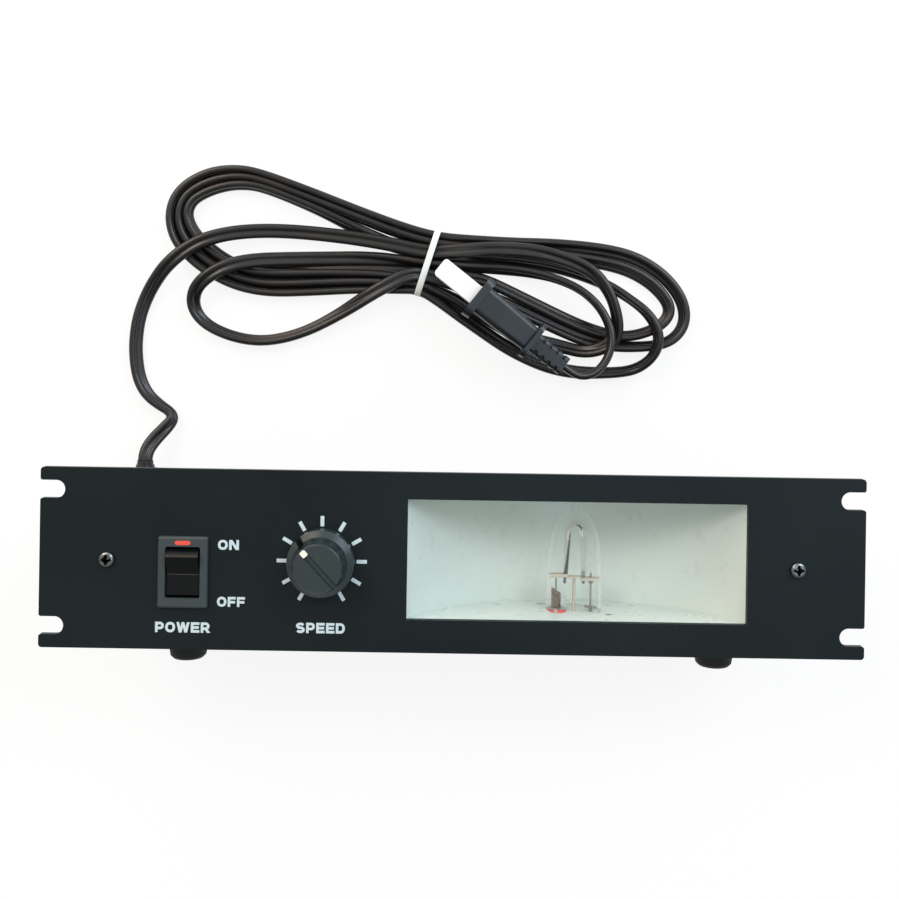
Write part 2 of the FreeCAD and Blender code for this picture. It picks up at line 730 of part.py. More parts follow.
def reflector_floor():
    """Floor plate with the lamp hole and a front lip folded down."""
    low = WIN_LOW - REF_T
    plate = reflector_plate("reflector_floor", low)
    lip = span("reflector_floor_lip", (WIN_X - WIN_W / 2, WIN_X + WIN_W / 2),
               (low - 5, low + REF_T / 2), (DEPTH - REF_T, DEPTH))
    folded = fuse("reflector_floor_folded", [plate, lip])
    hole = rod("reflector_floor_hole", (LAMP_X, low - 1, LAMP_Z), Y_AXIS, GLASS_R + 0.1, REF_T + 2)
    rivets = [rod("reflector_floor_rivet", (x, low - 1, z), Y_AXIS, M3, REF_T + 2)
              for x, z in SOCKET_SCREWS]
    return cut("reflector_floor", folded, [hole] + rivets)


def reflector_roof():
    """Roof plate that carries the reflector from the chassis top."""
    plate = reflector_plate("reflector_roof", WIN_TOP)
    holes = [rod("reflector_roof_hole", (x, WIN_TOP - 1, z), Y_AXIS, M3, REF_T + 2)
             for x, z in REFLECTOR_SCREWS]
    return cut("reflector_roof", plate, holes)


# ---------------------------------------------------------------- lamp

def dome_solid(inset, tip_points):
    """Turned solid of the dome, moved in by the wall, with its own tip outline."""
    foot_radius = float(GLASS_R) - inset
    side_foot = Vector(foot_radius, 0, 0)
    side_top = Vector(foot_radius - 0.1, 0, 21.0)
    dome = Part.BezierCurve()
    dome.setPoles([side_top, Vector(foot_radius - 0.3, 0, 36.0),
                   Vector(foot_radius - 2.5, 0, 49.6 - inset),
                   Vector(tip_points[0][0], 0, tip_points[0][1])])
    edges = [Part.LineSegment(side_foot, side_top).toShape(), dome.toShape()]
    corners = [Vector(x, 0, z) for x, z in tip_points] + [Vector(0, 0, 0), side_foot]
    for start, end in zip(corners, corners[1:]):
        edges.append(Part.LineSegment(start, end).toShape())
    return Part.Face(Part.Wire(edges)).revolve(Vector(0, 0, 0), Z_AXIS, 360)


def lamp_envelope():
    """Blown glass dome with a drawn tip, open at its lower rim."""
    drawn_tip = [(1.7, 50.7), (1.5, 52.4), (1.1, 53.6), (0.4, 54.2), (0.0, 54.2)]
    wall = float(GLASS_T)
    outer = dome_solid(0.0, drawn_tip)
    inner = dome_solid(wall, [(0.8, 50.0), (0.0, 50.0)])
    node = doc.addObject("Part::Feature", "lamp_envelope")
    node.Shape = outer.cut(inner)
    return place(node, (LAMP_X, LAMP_SEAT, LAMP_Z), Rotation(Z_AXIS, Y_AXIS))


def flash_leg(side):
    """Foot, turning point and lean of one leg, in the lamp's own X and height."""
    lean = math.radians({-1: 3.2, 1: 0.5}[side])
    turn = Vector(ARCH_X + side * ARCH_R * math.cos(lean), 0, ARCH_TOP + ARCH_R * math.sin(lean))
    out = (turn.z - LEG_FOOT) * math.tan(lean)
    return Vector(turn.x + side * out, 0, LEG_FOOT), turn


def flash_tube():
    """U-shaped glass tube whose left leg spreads towards its foot."""
    left_foot, left_turn = flash_leg(-1)
    right_foot, right_turn = flash_leg(1)
    path = Part.Wire([
        Part.LineSegment(left_foot, left_turn).toShape(),
        Part.Arc(left_turn, Vector(ARCH_X, 0, ARCH_TOP + ARCH_R), right_turn).toShape(),
        Part.LineSegment(right_turn, right_foot).toShape()])
    start = left_turn - left_foot
    outer = Part.Wire(Part.Circle(left_foot, start, float(TUBE_R)).toShape())
    inner = Part.Wire(Part.Circle(left_foot, start, float(TUBE_BORE)).toShape())
    glass = path.makePipeShell([outer], True, True)
    bore = path.makePipeShell([inner], True, True)
    node = doc.addObject("Part::Feature", "flash_tube")
    node.Shape = glass.cut(bore)
    return place(node, (LAMP_X, LAMP_SEAT, LAMP_Z), Rotation(Z_AXIS, Y_AXIS))


def along_leg(name, side, start, radius, length):
    """A cylinder on one leg's line, from a distance above its foot."""
    foot, turn = flash_leg(side)
    direction = (turn - foot).normalize()
    spot = foot + direction * start
    axis = Vector(direction.x, direction.z, 0)
    return rod(name, lamp_local(spot.x, spot.z, 0), axis, radius, length)


def lamp_local(x, height, z):
    """A spot given from the lamp's axis and its lower rim."""
    return (LAMP_X + x, LAMP_SEAT + height, LAMP_Z + z)


def lamp_block(name, x_pair, height_pair, z_pair):
    return span(name, (LAMP_X + x_pair[0], LAMP_X + x_pair[1]),
                (LAMP_SEAT + height_pair[0], LAMP_SEAT + height_pair[1]),
                (LAMP_Z + z_pair[0], LAMP_Z + z_pair[1]))


def lamp_spacer():
    """Tan ceramic bar across the dome: two end blocks and a thin middle."""
    reach, root, half = 11.8, 3.0, 1.9
    left = lamp_block("spacer_left", (-reach, -root), (19.95, LEFT_BAR_TOP), (-half, half))
    right = lamp_block("spacer_right", (root, reach), (RIGHT_BAR, 19.85), (-half, half))
    web = lamp_block("spacer_web", (-root - 0.2, root + 0.2), (19.5, WEB_TOP), (-1.5, 1.5))
    holes = [along_leg("spacer_leg_hole", side, -3.0, TUBE_R, 8.0) for side in (-1, 1)]
    holes += [rod("spacer_wire_hole", lamp_local(x, 17, 0), Y_AXIS, WIRE_R, 6.0)
              for x in (-LEFT_LEAD_X, LEAD_X)]
    holes.append(rod("spacer_rod_hole", lamp_local(0, 17, 0), Y_AXIS, ROD_R, 6.0))
    return cut("lamp_spacer", fuse("lamp_spacer_bar", [left, right, web]), holes)


def lamp_electrodes():
    """Metal pins sealed in the two feet of the flash tube."""
    return group("lamp_electrodes", [
        along_leg("electrode", side, -2.6, TUBE_BORE, 5.6) for side in (-1, 1)])


def lamp_support_rod():
    """Rod that stands in the base and holds the spacer."""
    return rod("lamp_support_rod", lamp_local(0, BASE_TOP, 0), Y_AXIS, ROD_R, WEB_TOP - BASE_TOP)


def lamp_lead_wires():
    """Stiff leads up to the spacer: the right one from the base, the left from its foil."""
    wedge = 1.65
    low = RING_TOP + FOIL_END + 0.46
    right = fuse("lead_right", [
        rod("lead_right_wire", lamp_local(LEAD_X, BASE_TOP, 0), Y_AXIS, WIRE_R, 17.9),
        rod("lead_right_foot", lamp_local(LEAD_X, BASE_TOP, 0), Y_AXIS, 0.8, STAR_LOW - BASE_TOP),
        cone("lead_right_wedge", lamp_local(LEAD_X, RIGHT_BAR - wedge, 0), Y_AXIS, 0.7, 1.5,
             wedge)])
    left = rod("lead_left_wire", lamp_local(-LEFT_LEAD_X, low, 0), Y_AXIS, WIRE_R,
               LEFT_BAR_TOP - low)
    return group("lamp_lead_wires", [right, left])


def lamp_star_washer():
    """Thin six-armed washer that grips the right lead above its foot."""
    hub = rod("star_hub", lamp_local(LEAD_X, STAR_LOW, 0), Y_AXIS, 0.95, 0.5)
    arms = []
    for i in range(3):
        arm = box("star_arm", (-3.0, -0.35, 0), (6.0, 0.7, 0.35))
        turn = Rotation(Z_AXIS, 60 * i)
        arm.Placement = Placement(turn.multVec(arm.Placement.Base), turn)
        arms.append(arm)
    star = fuse("star_arms", arms)
    doc.recompute()
    place(star, lamp_local(LEAD_X, STAR_LOW, 0), Rotation(Z_AXIS, Y_AXIS))
    shaft = rod("star_bore", lamp_local(LEAD_X, STAR_LOW - 1, 0), Y_AXIS, WIRE_R, 3.0)
    return cut("lamp_star_washer", fuse("star_body", [hub, star]), [shaft])


def lamp_seal_sleeves():
    """Two short clear sleeves round the feet of the leads, the left one cut aslant."""
    wall = 0.4
    sleeves = []
    for name, x, low, radius, height in (("left", -SLEEVE_X, RING_TOP, SLEEVE_R, 11.6),
                                         ("right", LEAD_X, BASE_TOP, SLEEVE_R - 0.15, 2.4)):
        outer = rod("sleeve_%s_outer" % name, lamp_local(x, low, 0), Y_AXIS, radius, height)
        inner = rod("sleeve_%s_inner" % name, lamp_local(x, low, 0), Y_AXIS, radius - wall, height)
        sleeves.append(cut("sleeve_%s" % name, outer, [inner]))
    slant = box("sleeve_slant", (0, 0, 0), (14.0, 8.0, 10.0))
    doc.recompute()
    place(slant, lamp_local(-13.0, 17.5, -5.0), Rotation(Z_AXIS, -35.7))
    sleeves[0] = cut("sleeve_left_slanted", sleeves[0], [slant])
    return group("lamp_seal_sleeves", sleeves)


def lamp_seal_ring():
    """Red sealing ring at the foot of the left sleeve."""
    height = RING_TOP - BASE_TOP
    outer = rod("seal_ring_outer", lamp_local(-SLEEVE_X, BASE_TOP, 0), Y_AXIS, SLEEVE_R, height)
    inner = rod("seal_ring_inner", lamp_local(-SLEEVE_X, BASE_TOP, 0), Y_AXIS, 1.2, height)
    return cut("lamp_seal_ring", outer, [inner])


def lamp_getter_foil():
    """Dark foil, folded to a Z in plan and cut aslant, that stands in the left sleeve."""
    fold = [(-2.3, -1.4), (1.2, -1.0), (-0.6, 0.6), (2.2, 1.3), (2.1, 1.8), (-1.8, 0.9),
            (-0.1, -0.7), (-2.4, -0.9)]
    outline = Part.makePolygon([Vector(x, z, 0) for x, z in fold + fold[:1]])
    node = doc.addObject("Part::Feature", "lamp_getter_foil")
    above = Part.makeBox(12.0, 10.0, 8.0, Vector(-6.0, -5.0, 0))
    above.Placement = Placement(Vector(0, 0, float(FOIL_END)), Rotation(Y_AXIS, 35.0))
    node.Shape = Part.Face(outline).extrude(Vector(0, 0, 11.0)).cut(above)
    return place(node, lamp_local(0.2 - LEFT_LEAD_X, RING_TOP, 0), Rotation(Z_AXIS, Y_AXIS))


def lamp_base():
    """White ceramic foot: a plug inside the dome on a wider disc."""
    disc = rod("lamp_base_disc", lamp_local(0, -1.6, 0), Y_AXIS, GLASS_R, 1.6)
    plug = rod("lamp_base_plug", lamp_local(0, -0.2, 0), Y_AXIS, GLASS_R - GLASS_T - 0.15,
               BASE_TOP + 0.2)
    return fuse("lamp_base", [disc, plug])


def lamp_pins():
    """Three contact pins under the base."""
    return group("lamp_pins", [
        rod("lamp_pin", lamp_local(x, -3.4, z), Y_AXIS, 0.6, 1.8) for x, z in LAMP_PINS])


def lamp_socket():
    """Moulded cup under the reflector floor, with two ears for its screws."""
    roof = WIN_LOW - REF_T
    foot = LAMP_SEAT - 3.6
    cup = rod("socket_cup", (LAMP_X, foot, LAMP_Z), Y_AXIS, GLASS_R + 2.6, roof - foot)
    ears = [rod("socket_ear", (x, roof - 2.2, z), Y_AXIS, 4.0, 2.2) for x, z in SOCKET_SCREWS]
    link = span("socket_link", (LAMP_X - 15, LAMP_X + 15), (roof - 2.2, roof),
                (LAMP_Z - 4, LAMP_Z + 4))
    turned = fuse("socket_outside", [cup, link] + ears)
    well = rod("socket_well", (LAMP_X, LAMP_SEAT - 1.6, LAMP_Z), Y_AXIS, GLASS_R + 0.2,
               roof - LAMP_SEAT + 3)
    holes = [rod("socket_screw_hole", (x, roof - 3, z), Y_AXIS, M3, 5.0)
             for x, z in SOCKET_SCREWS]
    holes += [rod("socket_pin_hole", lamp_local(x, -3.4, z), Y_AXIS, 0.6, 2.0)
              for x, z in LAMP_PINS]
    return cut("lamp_socket", turned, [well] + holes)


def socket_screws():
    """Two screws from below, whose ends show flush in the reflector floor."""
    master = pan_screw("socket_screw", M3, 3.0, 2.3, 1.6)
    level = WIN_LOW - REF_T - 2.2
    return copies("socket_screws", master,
                  [facing((x, level, z), -Y_AXIS) for x, z in SOCKET_SCREWS])


# ---------------------------------------------------------------- rocker switch

def switch_body():
    """Moulded housing: bezel in front of the panel, hollow box behind it."""
    body = new_body("switch_body")
    half_w = BEZEL_W / 2
    half_h = BEZEL_H / 2
    bezel = new_sketch(body, "XY", PANEL_FRONT)
    rectangle(bezel, (SWITCH_X - half_w, SWITCH_X + half_w),
              (SWITCH_Y - half_h, SWITCH_Y + half_h))
    pad(body, bezel, BEZEL_T)
    round_edges(body, 1.0, lambda edge: runs_along(edge, Z_AXIS))
    round_edges(body, 1.2, lambda edge: near(middle(edge).z, BEZEL_FRONT))

    behind = new_sketch(body, "XY", PANEL_FRONT - SWITCH_DEEP)
    rectangle(behind, (SWITCH_X - 9.6, SWITCH_X + 9.6),
              (SWITCH_Y - SWITCH_BOX_H, SWITCH_Y + SWITCH_BOX_H))
    pad(body, behind, SWITCH_DEEP)

    # two sprung wings hold the switch behind the panel
    wings = new_sketch(body, "XY", DEPTH - 7)
    for side in (-1, 1):
        pair = (SWITCH_Y + side * SWITCH_BOX_H, SWITCH_Y + side * 15.0)
        ordered = pair if side > 0 else (pair[1], pair[0])
        rectangle(wings, (SWITCH_X - 4, SWITCH_X + 4), ordered)
    pad(body, wings, 6.8)

    mouth = new_sketch(body, "XY", BEZEL_FRONT)
    rectangle(mouth, (SWITCH_X - MOUTH_W / 2, SWITCH_X + MOUTH_W / 2),
              (SWITCH_Y - MOUTH_H / 2, SWITCH_Y + MOUTH_H / 2))
    pocket(body, mouth, BEZEL_T + 1)

    def mouth_corner(edge):
        spot = middle(edge)
        across = near(abs(spot.x - float(SWITCH_X)), MOUTH_W / 2)
        along = near(abs(spot.y - float(SWITCH_Y)), MOUTH_H / 2)
        return runs_along(edge, Z_AXIS) and across and along

    round_edges(body, 1.0, mouth_corner)
    cavity = new_sketch(body, "XY", PANEL_FRONT)
    rectangle(cavity, (SWITCH_X - MOUTH_W / 2, SWITCH_X + MOUTH_W / 2),
              (SWITCH_Y - 12.6, SWITCH_Y + 12.6))
    pocket(body, cavity, 14.0)

    bores = new_sketch(body, "YZ", SWITCH_X + 12)
    circle(bores, SWITCH_Y, PIVOT_Z, PIN_R + RUN_GAP)
    pocket(body, bores, 24.0)
    return body


def switch_rocker():
    """Rocker with two sloped paddles, ends turned about its pivot, on trunnions."""
    half = MOUTH_W / 2 - 0.6
    body = new_body("rocker_block")
    side = new_sketch(body, "YZ", -half)
    polygon(side, [(-13.0, 8.4), (0.0, 5.0), (13.0, 8.4), (13.0, -2.6), (5.0, -5.0),
                   (-5.0, -5.0), (-13.0, -2.6)])
    pad(body, side, half * 2)
    ends = rod("rocker_ends", (-half, 0, 0), X_AXIS, ROCK_R, half * 2)
    paddles = common("rocker_paddles", body, ends)
    doc.recompute()
    softened = doc.addObject("Part::Fillet", "rocker_softened")
    softened.Base = paddles
    tip, valley = 0.45, 0.5
    softened.Edges = [(i + 1, tip, tip) if middle(edge).z > 6.5 else (i + 1, valley, valley)
                      for i, edge in enumerate(paddles.Shape.Edges)
                      if middle(edge).z > 4.5 and runs_along(edge, X_AXIS)]
    pin = 1.8
    pins = rod("rocker_pins", (-(half + pin), 0, 0), X_AXIS, PIN_R, (half + pin) * 2)
    rocker = fuse("switch_rocker", [softened, pins])
    doc.recompute()
    place(rocker, (SWITCH_X, SWITCH_Y, PIVOT_Z), Rotation(X_AXIS, float(ROCK_TILT)))
    return rocker


def switch_mark():
    """Red index bar with round ends on the bezel above the rocker."""
    reach, half, thick = 2.5, 0.95, 0.15
    level = SWITCH_Y + 13.15
    bar = span("mark_bar", (SWITCH_X - reach, SWITCH_X + reach), (level - half, level + half),
               (BEZEL_FRONT, BEZEL_FRONT + thick))
    ends = [rod("mark_end", (SWITCH_X + side * reach, level, BEZEL_FRONT), Z_AXIS, half, thick)
            for side in (-1, 1)]
    return fuse("switch_mark", [bar] + ends)


def switch_terminals():
    """Two flat blades on the back of the switch."""
    top = PANEL_FRONT - SWITCH_DEEP
    return group("switch_terminals", [
        span("switch_terminal", (SWITCH_X - 3.15, SWITCH_X + 3.15),
             (SWITCH_Y + y - 0.4, SWITCH_Y + y + 0.4), (top - 8, top))
        for y in (-6.0, 6.0)])


# ---------------------------------------------------------------- speed control

def knob():
    """Skirted knob with a fluted grip, a groove across its cap and a notched skirt."""
    body = new_body("speed_knob")
    half = new_sketch(body, "XZ")
    polygon(half, [(SHAFT_R, 7.2), (9.2, 7.2), (9.2, 0.8), (SKIRT_R - 0.4, 0.8),
                   (SKIRT_R, 1.2), (SKIRT_R, SKIRT_H - 0.3), (SKIRT_R - 0.4, SKIRT_H),
                   (GRIP_R, SKIRT_H + 2), (CAP_R, KNOB_H - 0.4), (CAP_R - 0.4, KNOB_H),
                   (0.0, KNOB_H), (0.0, KNOB_H - 3), (SHAFT_R, KNOB_H - 3)])
    revolve(body, half)

    flute = new_sketch(body, "XY", KNOB_H + 1)
    circle(flute, 0.0, GRIP_R - 0.3, 1.0)
    first = pocket(body, flute, KNOB_H + 1 - SKIRT_H - 2)
    flutes = body.newObject("PartDesign::PolarPattern", "speed_knob_flutes")
    flutes.Originals = [first]
    axis = [f for f in body.Origin.OriginFeatures if f.Role == "Z_Axis"][0]
    flutes.Axis = (axis, [""])
    flutes.Angle = 360.0
    flutes.Occurrences = 12
    body.Tip = flutes
    doc.recompute()

    groove = new_sketch(body, "XZ")
    polygon(groove, [(-GROOVE_LOW, KNOB_H - GROOVE_DEEP), (GROOVE_LOW, KNOB_H - GROOVE_DEEP),
                     (GROOVE_TOP, KNOB_H), (-GROOVE_TOP, KNOB_H)])
    pocket(body, groove, GRIP_R * 2 + 2, both_ways=True)
    notch = new_sketch(body, "XY", KNOB_H)
    rectangle(notch, (-1.5, 1.5), (CAP_R + 0.25, SKIRT_R + 1))
    pocket(body, notch, KNOB_H)
    screw = new_sketch(body, "XZ")
    circle(screw, 0.0, 11.0, 1.5)
    pocket(body, screw, GRIP_R + 1, reverse=True)
    place(body, (KNOB_X, KNOB_Y, PANEL_FRONT), Rotation(Z_AXIS, float(POINTER)))
    return body


def on_knob(obj, spot):
    """Turns a part of the knob to the pointer's direction."""
    doc.recompute()
    turn = Rotation(Z_AXIS, float(POINTER))
    offset = turn.multVec(Vector(*[float(c) for c in spot]))
    obj.Placement = Placement(Vector(float(KNOB_X) + offset.x, float(KNOB_Y) + offset.y,
                                     float(PANEL_FRONT) + offset.z), turn)
    return obj


def knob_pointer():
    """Cream fill with soft corners in the pointer end of the groove."""
    low = float(KNOB_H - GROOVE_DEEP)
    depth = float(GROOVE_DEEP) - 0.15
    foot = float(GROOVE_LOW)
    top = foot + (float(GROOVE_TOP) - foot) * depth / float(GROOVE_DEEP)
    start, length, soft = 7.25, 2.9, 0.6
    section = [(-foot, low), (foot, low), (top, low + depth), (-top, low + depth), (-foot, low)]
    outline = Part.makePolygon([Vector(x, start, z) for x, z in section])
    dot = Part.Face(outline).extrude(Vector(0, length, 0))
    upright = [e for e in dot.Edges if start - 0.01 < middle(e).y < start + length + 0.01
               and near(middle(e).z, low + depth / 2)]
    node = doc.addObject("Part::Feature", "knob_pointer")
    node.Shape = dot.makeFillet(soft, upright)
    return on_knob(node, (0, 0, 0))


def knob_set_screw():
    """Grub screw that holds the knob on the shaft, opposite the pointer."""
    screw = rod("set_screw_body", (0, -7.4, 11.0), Y_AXIS, 1.5, 4.4)
    drive = rod("set_screw_drive", (0, -7.4, 11.0), Y_AXIS, 0.75, 1.5)
    return on_knob(cut("knob_set_screw", screw, [drive]), (0, 0, 0))


def pot_shaft():
    """Shaft of the speed control, from inside its body to inside the knob."""
    low = DEPTH - 10
    return rod("pot_shaft", (KNOB_X, KNOB_Y, low), Z_AXIS, SHAFT_R, PANEL_FRONT + KNOB_H - 3 - low)


def pot_body():
    """Round case of the speed control behind the panel."""
    case = rod("pot_case", (KNOB_X, KNOB_Y, DEPTH - 12), Z_AXIS, 12.0, 10.0)
    bore = rod("pot_case_bore", (KNOB_X, KNOB_Y, DEPTH - 10.5), Z_AXIS, SHAFT_R + RUN_GAP, 9.0)
    return cut("pot_body", case, [bore])


def pot_bushing():
    """Threaded bushing that carries the shaft through the panel."""
    outside = rod("pot_bushing_outside", (KNOB_X, KNOB_Y, DEPTH - 2), Z_AXIS, POT_THREAD, 11.0)
    bore = rod("pot_bushing_bore", (KNOB_X, KNOB_Y, DEPTH - 2), Z_AXIS, SHAFT_R + RUN_GAP, 11.0)
    return cut("pot_bushing", outside, [bore])


def pot_washer():
    outer = rod("pot_washer_outer", (KNOB_X, KNOB_Y, PANEL_FRONT), Z_AXIS, 7.5, 0.6)
    inner = rod("pot_washer_inner", (KNOB_X, KNOB_Y, PANEL_FRONT), Z_AXIS, POT_THREAD, 0.6)
    return cut("pot_washer", outer, [inner])


def pot_nut():
    prism = doc.addObject("Part::Prism", "pot_nut_hexagon")
    prism.Polygon = 6
    prism.Circumradius = 7.2
    prism.Height = 2.4
    place(prism, (KNOB_X, KNOB_Y, PANEL_FRONT + 0.6))
    bore = rod("pot_nut_bore", (KNOB_X, KNOB_Y, PANEL_FRONT + 0.6), Z_AXIS, POT_THREAD, 2.4)
    return cut("pot_nut", prism, [bore])


def pot_terminals():
    """Three solder tags below the case."""
    return group("pot_terminals", [
        span("pot_terminal", (KNOB_X + x - 1.1, KNOB_X + x + 1.1),
             (KNOB_Y - 18.5, KNOB_Y - 10.6), (DEPTH - 12.8, DEPTH - 12))
        for x in (-5.0, 0.0, 5.0)])


# ---------------------------------------------------------------- circuit board

def circuit_board():
    plate = span("board_plate", (BOARD_X - BOARD_W / 2, BOARD_X + BOARD_W / 2),
                 (BOARD_Y - BOARD_H / 2, BOARD_Y + BOARD_H / 2),
                 (SHEET + STAND, BOARD_FACE))
    holes = [rod("board_hole", (x, y, SHEET + STAND), Z_AXIS, M3, BOARD_T)
             for x, y in BOARD_CORNERS]
    return cut("circuit_board", plate, holes)


def board_standoffs():
    pillars = []
    for x, y in BOARD_CORNERS:
        post = rod("standoff_post", (x, y, SHEET), Z_AXIS, 3.0, STAND)
        bore = rod("standoff_bore", (x, y, SHEET + 2), Z_AXIS, M3, STAND - 2)
        pillars.append(cut("standoff", post, [bore]))
    return group("board_standoffs", pillars)


def board_screws():
    master = pan_screw("board_screw", M3, 6.0, 2.8, 1.7)
    return copies("board_screws", master,
                  [facing((x, y, BOARD_FACE), Z_AXIS) for x, y in BOARD_CORNERS])


def discharge_capacitors():
    """Two upright electrolytic cans with a rolled groove."""
    can_x = -98.0
    cans = []
    for y in (13.0, -12.0):
        can = rod("capacitor_can", (can_x, y, BOARD_FACE), Z_AXIS, 8.0, 29.0)
        ring = doc.addObject("Part::Torus", "capacitor_groove")
        ring.Radius1 = 8.3
        ring.Radius2 = 0.8
        place(ring, (can_x, y, BOARD_FACE + 3))
        cans.append(cut("capacitor", can, [ring]))
    return group("discharge_capacitors", cans)


def trigger_coil():
    """Potted coil that fires the lamp."""
    can = rod("coil_can", (-42.0, -13.0, BOARD_FACE), Z_AXIS, 6.5, 15.0)
    core = rod("coil_core", (-42.0, -13.0, BOARD_FACE + 15), Z_AXIS, 2.0, 1.6)
    return fuse("trigger_coil", [can, core])


def power_resistor():
    """Square ceramic resistor raised on two feet."""
    block = span("resistor_block", (-84.0, -44.0), (13.0, 22.0), (BOARD_FACE + 2, BOARD_FACE + 11))
    feet = [span("resistor_foot", (x, x + 3), (14.0, 21.0), (BOARD_FACE, BOARD_FACE + 2.5))
            for x in (-81.0, -50.0)]
    return fuse("power_resistor", [block] + feet)


def thyristor():
    """Tabbed switching device that stands on the board."""
    case = span("thyristor_case", (-70.0, -60.0), (-6.0, -1.6), (BOARD_FACE + 3, BOARD_FACE + 12))
    tab = span("thyristor_tab", (-70.0, -60.0), (-7.2, -6.0), (BOARD_FACE + 3, BOARD_FACE + 18))
    legs = [span("thyristor_leg", (x, x + 0.8), (-4.4, -3.7), (BOARD_FACE, BOARD_FACE + 3))
            for x in (-68.0, -65.4, -62.8)]
    hole = rod("thyristor_hole", (-65.0, -8.0, BOARD_FACE + 15.2), Y_AXIS, 1.8, 3.0)
    return cut("thyristor", fuse("thyristor_whole", [case, tab] + legs), [hole])


def diodes():
    """Four axial rectifiers close above the board."""
    return group("diodes", [
        fuse("diode", [
            rod("diode_case", (x, -3.5, BOARD_FACE + 2.2), Y_AXIS, 1.6, 7.0),
            rod("diode_lead", (x, -6.5, BOARD_FACE + 2.2), Y_AXIS, 0.4, 13.0),
            span("diode_leg_low", (x - 0.4, x + 0.4), (-6.9, -6.1), (BOARD_FACE, BOARD_FACE + 2.6)),
            span("diode_leg_high", (x - 0.4, x + 0.4), (6.1, 6.9), (BOARD_FACE, BOARD_FACE + 2.6))])
        for x in (-130.0, -124.0, -118.0, -112.0)])


def timing_capacitor():
    """Film capacitor that sets the flash rate with the speed control."""
    return span("timing_capacitor", (-50.0, -33.0), (2.0, 9.0), (BOARD_FACE, BOARD_FACE + 12))


def fuse_link():
    """Glass fuse with two metal caps."""
    return rod("fuse_link", (FUSE_X, -16.0, BOARD_FACE + FUSE_Z), X_AXIS, FUSE_R, 20.0)


def fuse_clips():
    """Two sprung clips that hold the fuse by its caps."""
    clips = []
    for x in (FUSE_X + 1.0, FUSE_X + 15.5):
        outer = span("clip_block", (x, x + 3.5), (-19.2, -12.8), (BOARD_FACE, BOARD_FACE + 6.6))
        hollow = rod("clip_hollow", (x - 1, -16.0, BOARD_FACE + FUSE_Z), X_AXIS, FUSE_R, 6.0)
        mouth = span("clip_mouth", (x - 1, x + 5), (-18.0, -14.0),
                     (BOARD_FACE + 5.2, BOARD_FACE + 8))
        clips.append(cut("fuse_clip", outer, [hollow, mouth]))
    return group("fuse_clips", clips)


def wire_node(name, routes, radius):
    """Insulated wires, each a tube of its own, in one node."""
    node = doc.addObject("Part::Feature", name)
    node.Shape = Part.makeCompound([
        flexible_tube("%s %d" % (name, i + 1), route, radius) for i, route in enumerate(routes)])
    node.Placement = Placement()
    return node


def switch_wires():
    """Cord core to the switch, switch to board, and cord core to the fuse."""
    low = PANEL_FRONT - 39
    face = BOARD_FACE
    wall = TOP_IN - BUSHING_IN
    return wire_node("switch_wires", [
        [(EXIT_X - 1.8, wall, EXIT_Z), (EXIT_X - 1.8, 12.5, EXIT_Z), (-152.0, 7.0, 21.0),
         (-141.0, 5.7, 29.0), (-129.0, 5.7, 33.0), (SWITCH_X, SWITCH_Y + 6, 36.0),
         (SWITCH_X, SWITCH_Y + 6, low)],
        [(SWITCH_X, SWITCH_Y - 6, low), (SWITCH_X, SWITCH_Y - 6, 36.0),
         (-113.5, -8.6, 27.0), (-112.0, -9.2, 18.0), (-112.0, -9.2, face)],
        [(EXIT_X + 1.8, wall, EXIT_Z), (EXIT_X + 1.8, 11.5, EXIT_Z), (-151.5, -1.0, 18.0),
         (-149.0, -12.0, 23.0), (-141.0, -22.4, 23.0), (-128.5, -23.0, 20.5),
         (-122.0, -22.6, 15.6), (-122.0, -22.6, face)]], 0.9)


def lamp_wires():
    """Supply and trigger leads from the board to the lamp socket."""
    face = BOARD_FACE
    cup = float(GLASS_R) + 2.6
    routes = []
    for step in (-1, 0, 1):
        shift = 3.0 * step
        reach = math.sqrt(cup * cup - shift * shift)
        routes.append([(-56.0 + shift, -20.0, face), (-56.0 + shift, -20.0, face + 9),
                       (-47.0 + shift, -24.0, 27.0 + shift), (-28.0, -26.0, 32.0 + shift),
                       (0.0, -26.3, 40.0 + shift), (LAMP_X - 34, -26.3, 52.0 + shift),
                       (LAMP_X - 24, -26.3, LAMP_Z + shift),
                       (LAMP_X - reach, -26.3, LAMP_Z + shift)])
    return wire_node("lamp_wires", routes, 0.9)


# ---------------------------------------------------------------- mains cord

CORD_ROUTE = [
    (EXIT_X, EXIT_Y, EXIT_Z),
    (EXIT_X, 44.6, 12.4),
    (-152.6, 50.4, 9.6),
    (-147.4, 56.4, 6.4),
    (-144.2, 60.6, 4.6),
    (-145.6, 64.4, 3.6),
    (-151.0, 67.6, 3.0),
    (-157.4, 72.6, 2.8),
    (-161.8, 80.0, 2.8),
    (-163.8, 89.2, 2.8),
    (-164.6, 99.8, 2.8),
    (-163.4, 112.0, 2.8),
    (-159.0, 124.4, 2.8),
    (-151.2, 135.6, 3.6),
    (-141.6, 144.6, 5.2),
]

def plug_spot(along):
    """A point on the plug's axis, measured from its face."""
    turn = math.radians(float(PLUG_TURN))
    return (float(PLUG_X) + along * math.cos(turn), float(PLUG_Y) + along * math.sin(turn),
            float(PLUG_Z))


TAIL_ROUTE = [
    plug_spot(PLUG_END),
    plug_spot(60.5),
    (61.6, 86.6, 21.4),
    (67.4, 87.0, 20.0),
    (73.0, 91.0, 18.0),
    (77.2, 97.6, 15.8),
    (78.6, 105.8, 14.0),
    (76.8, 114.4, 12.6),
    (72.0, 122.0, 11.8),
    (64.4, 129.0, 11.6),
    (53.6, 134.6, 10.6),
    (41.0, 138.4, 7.4),
]

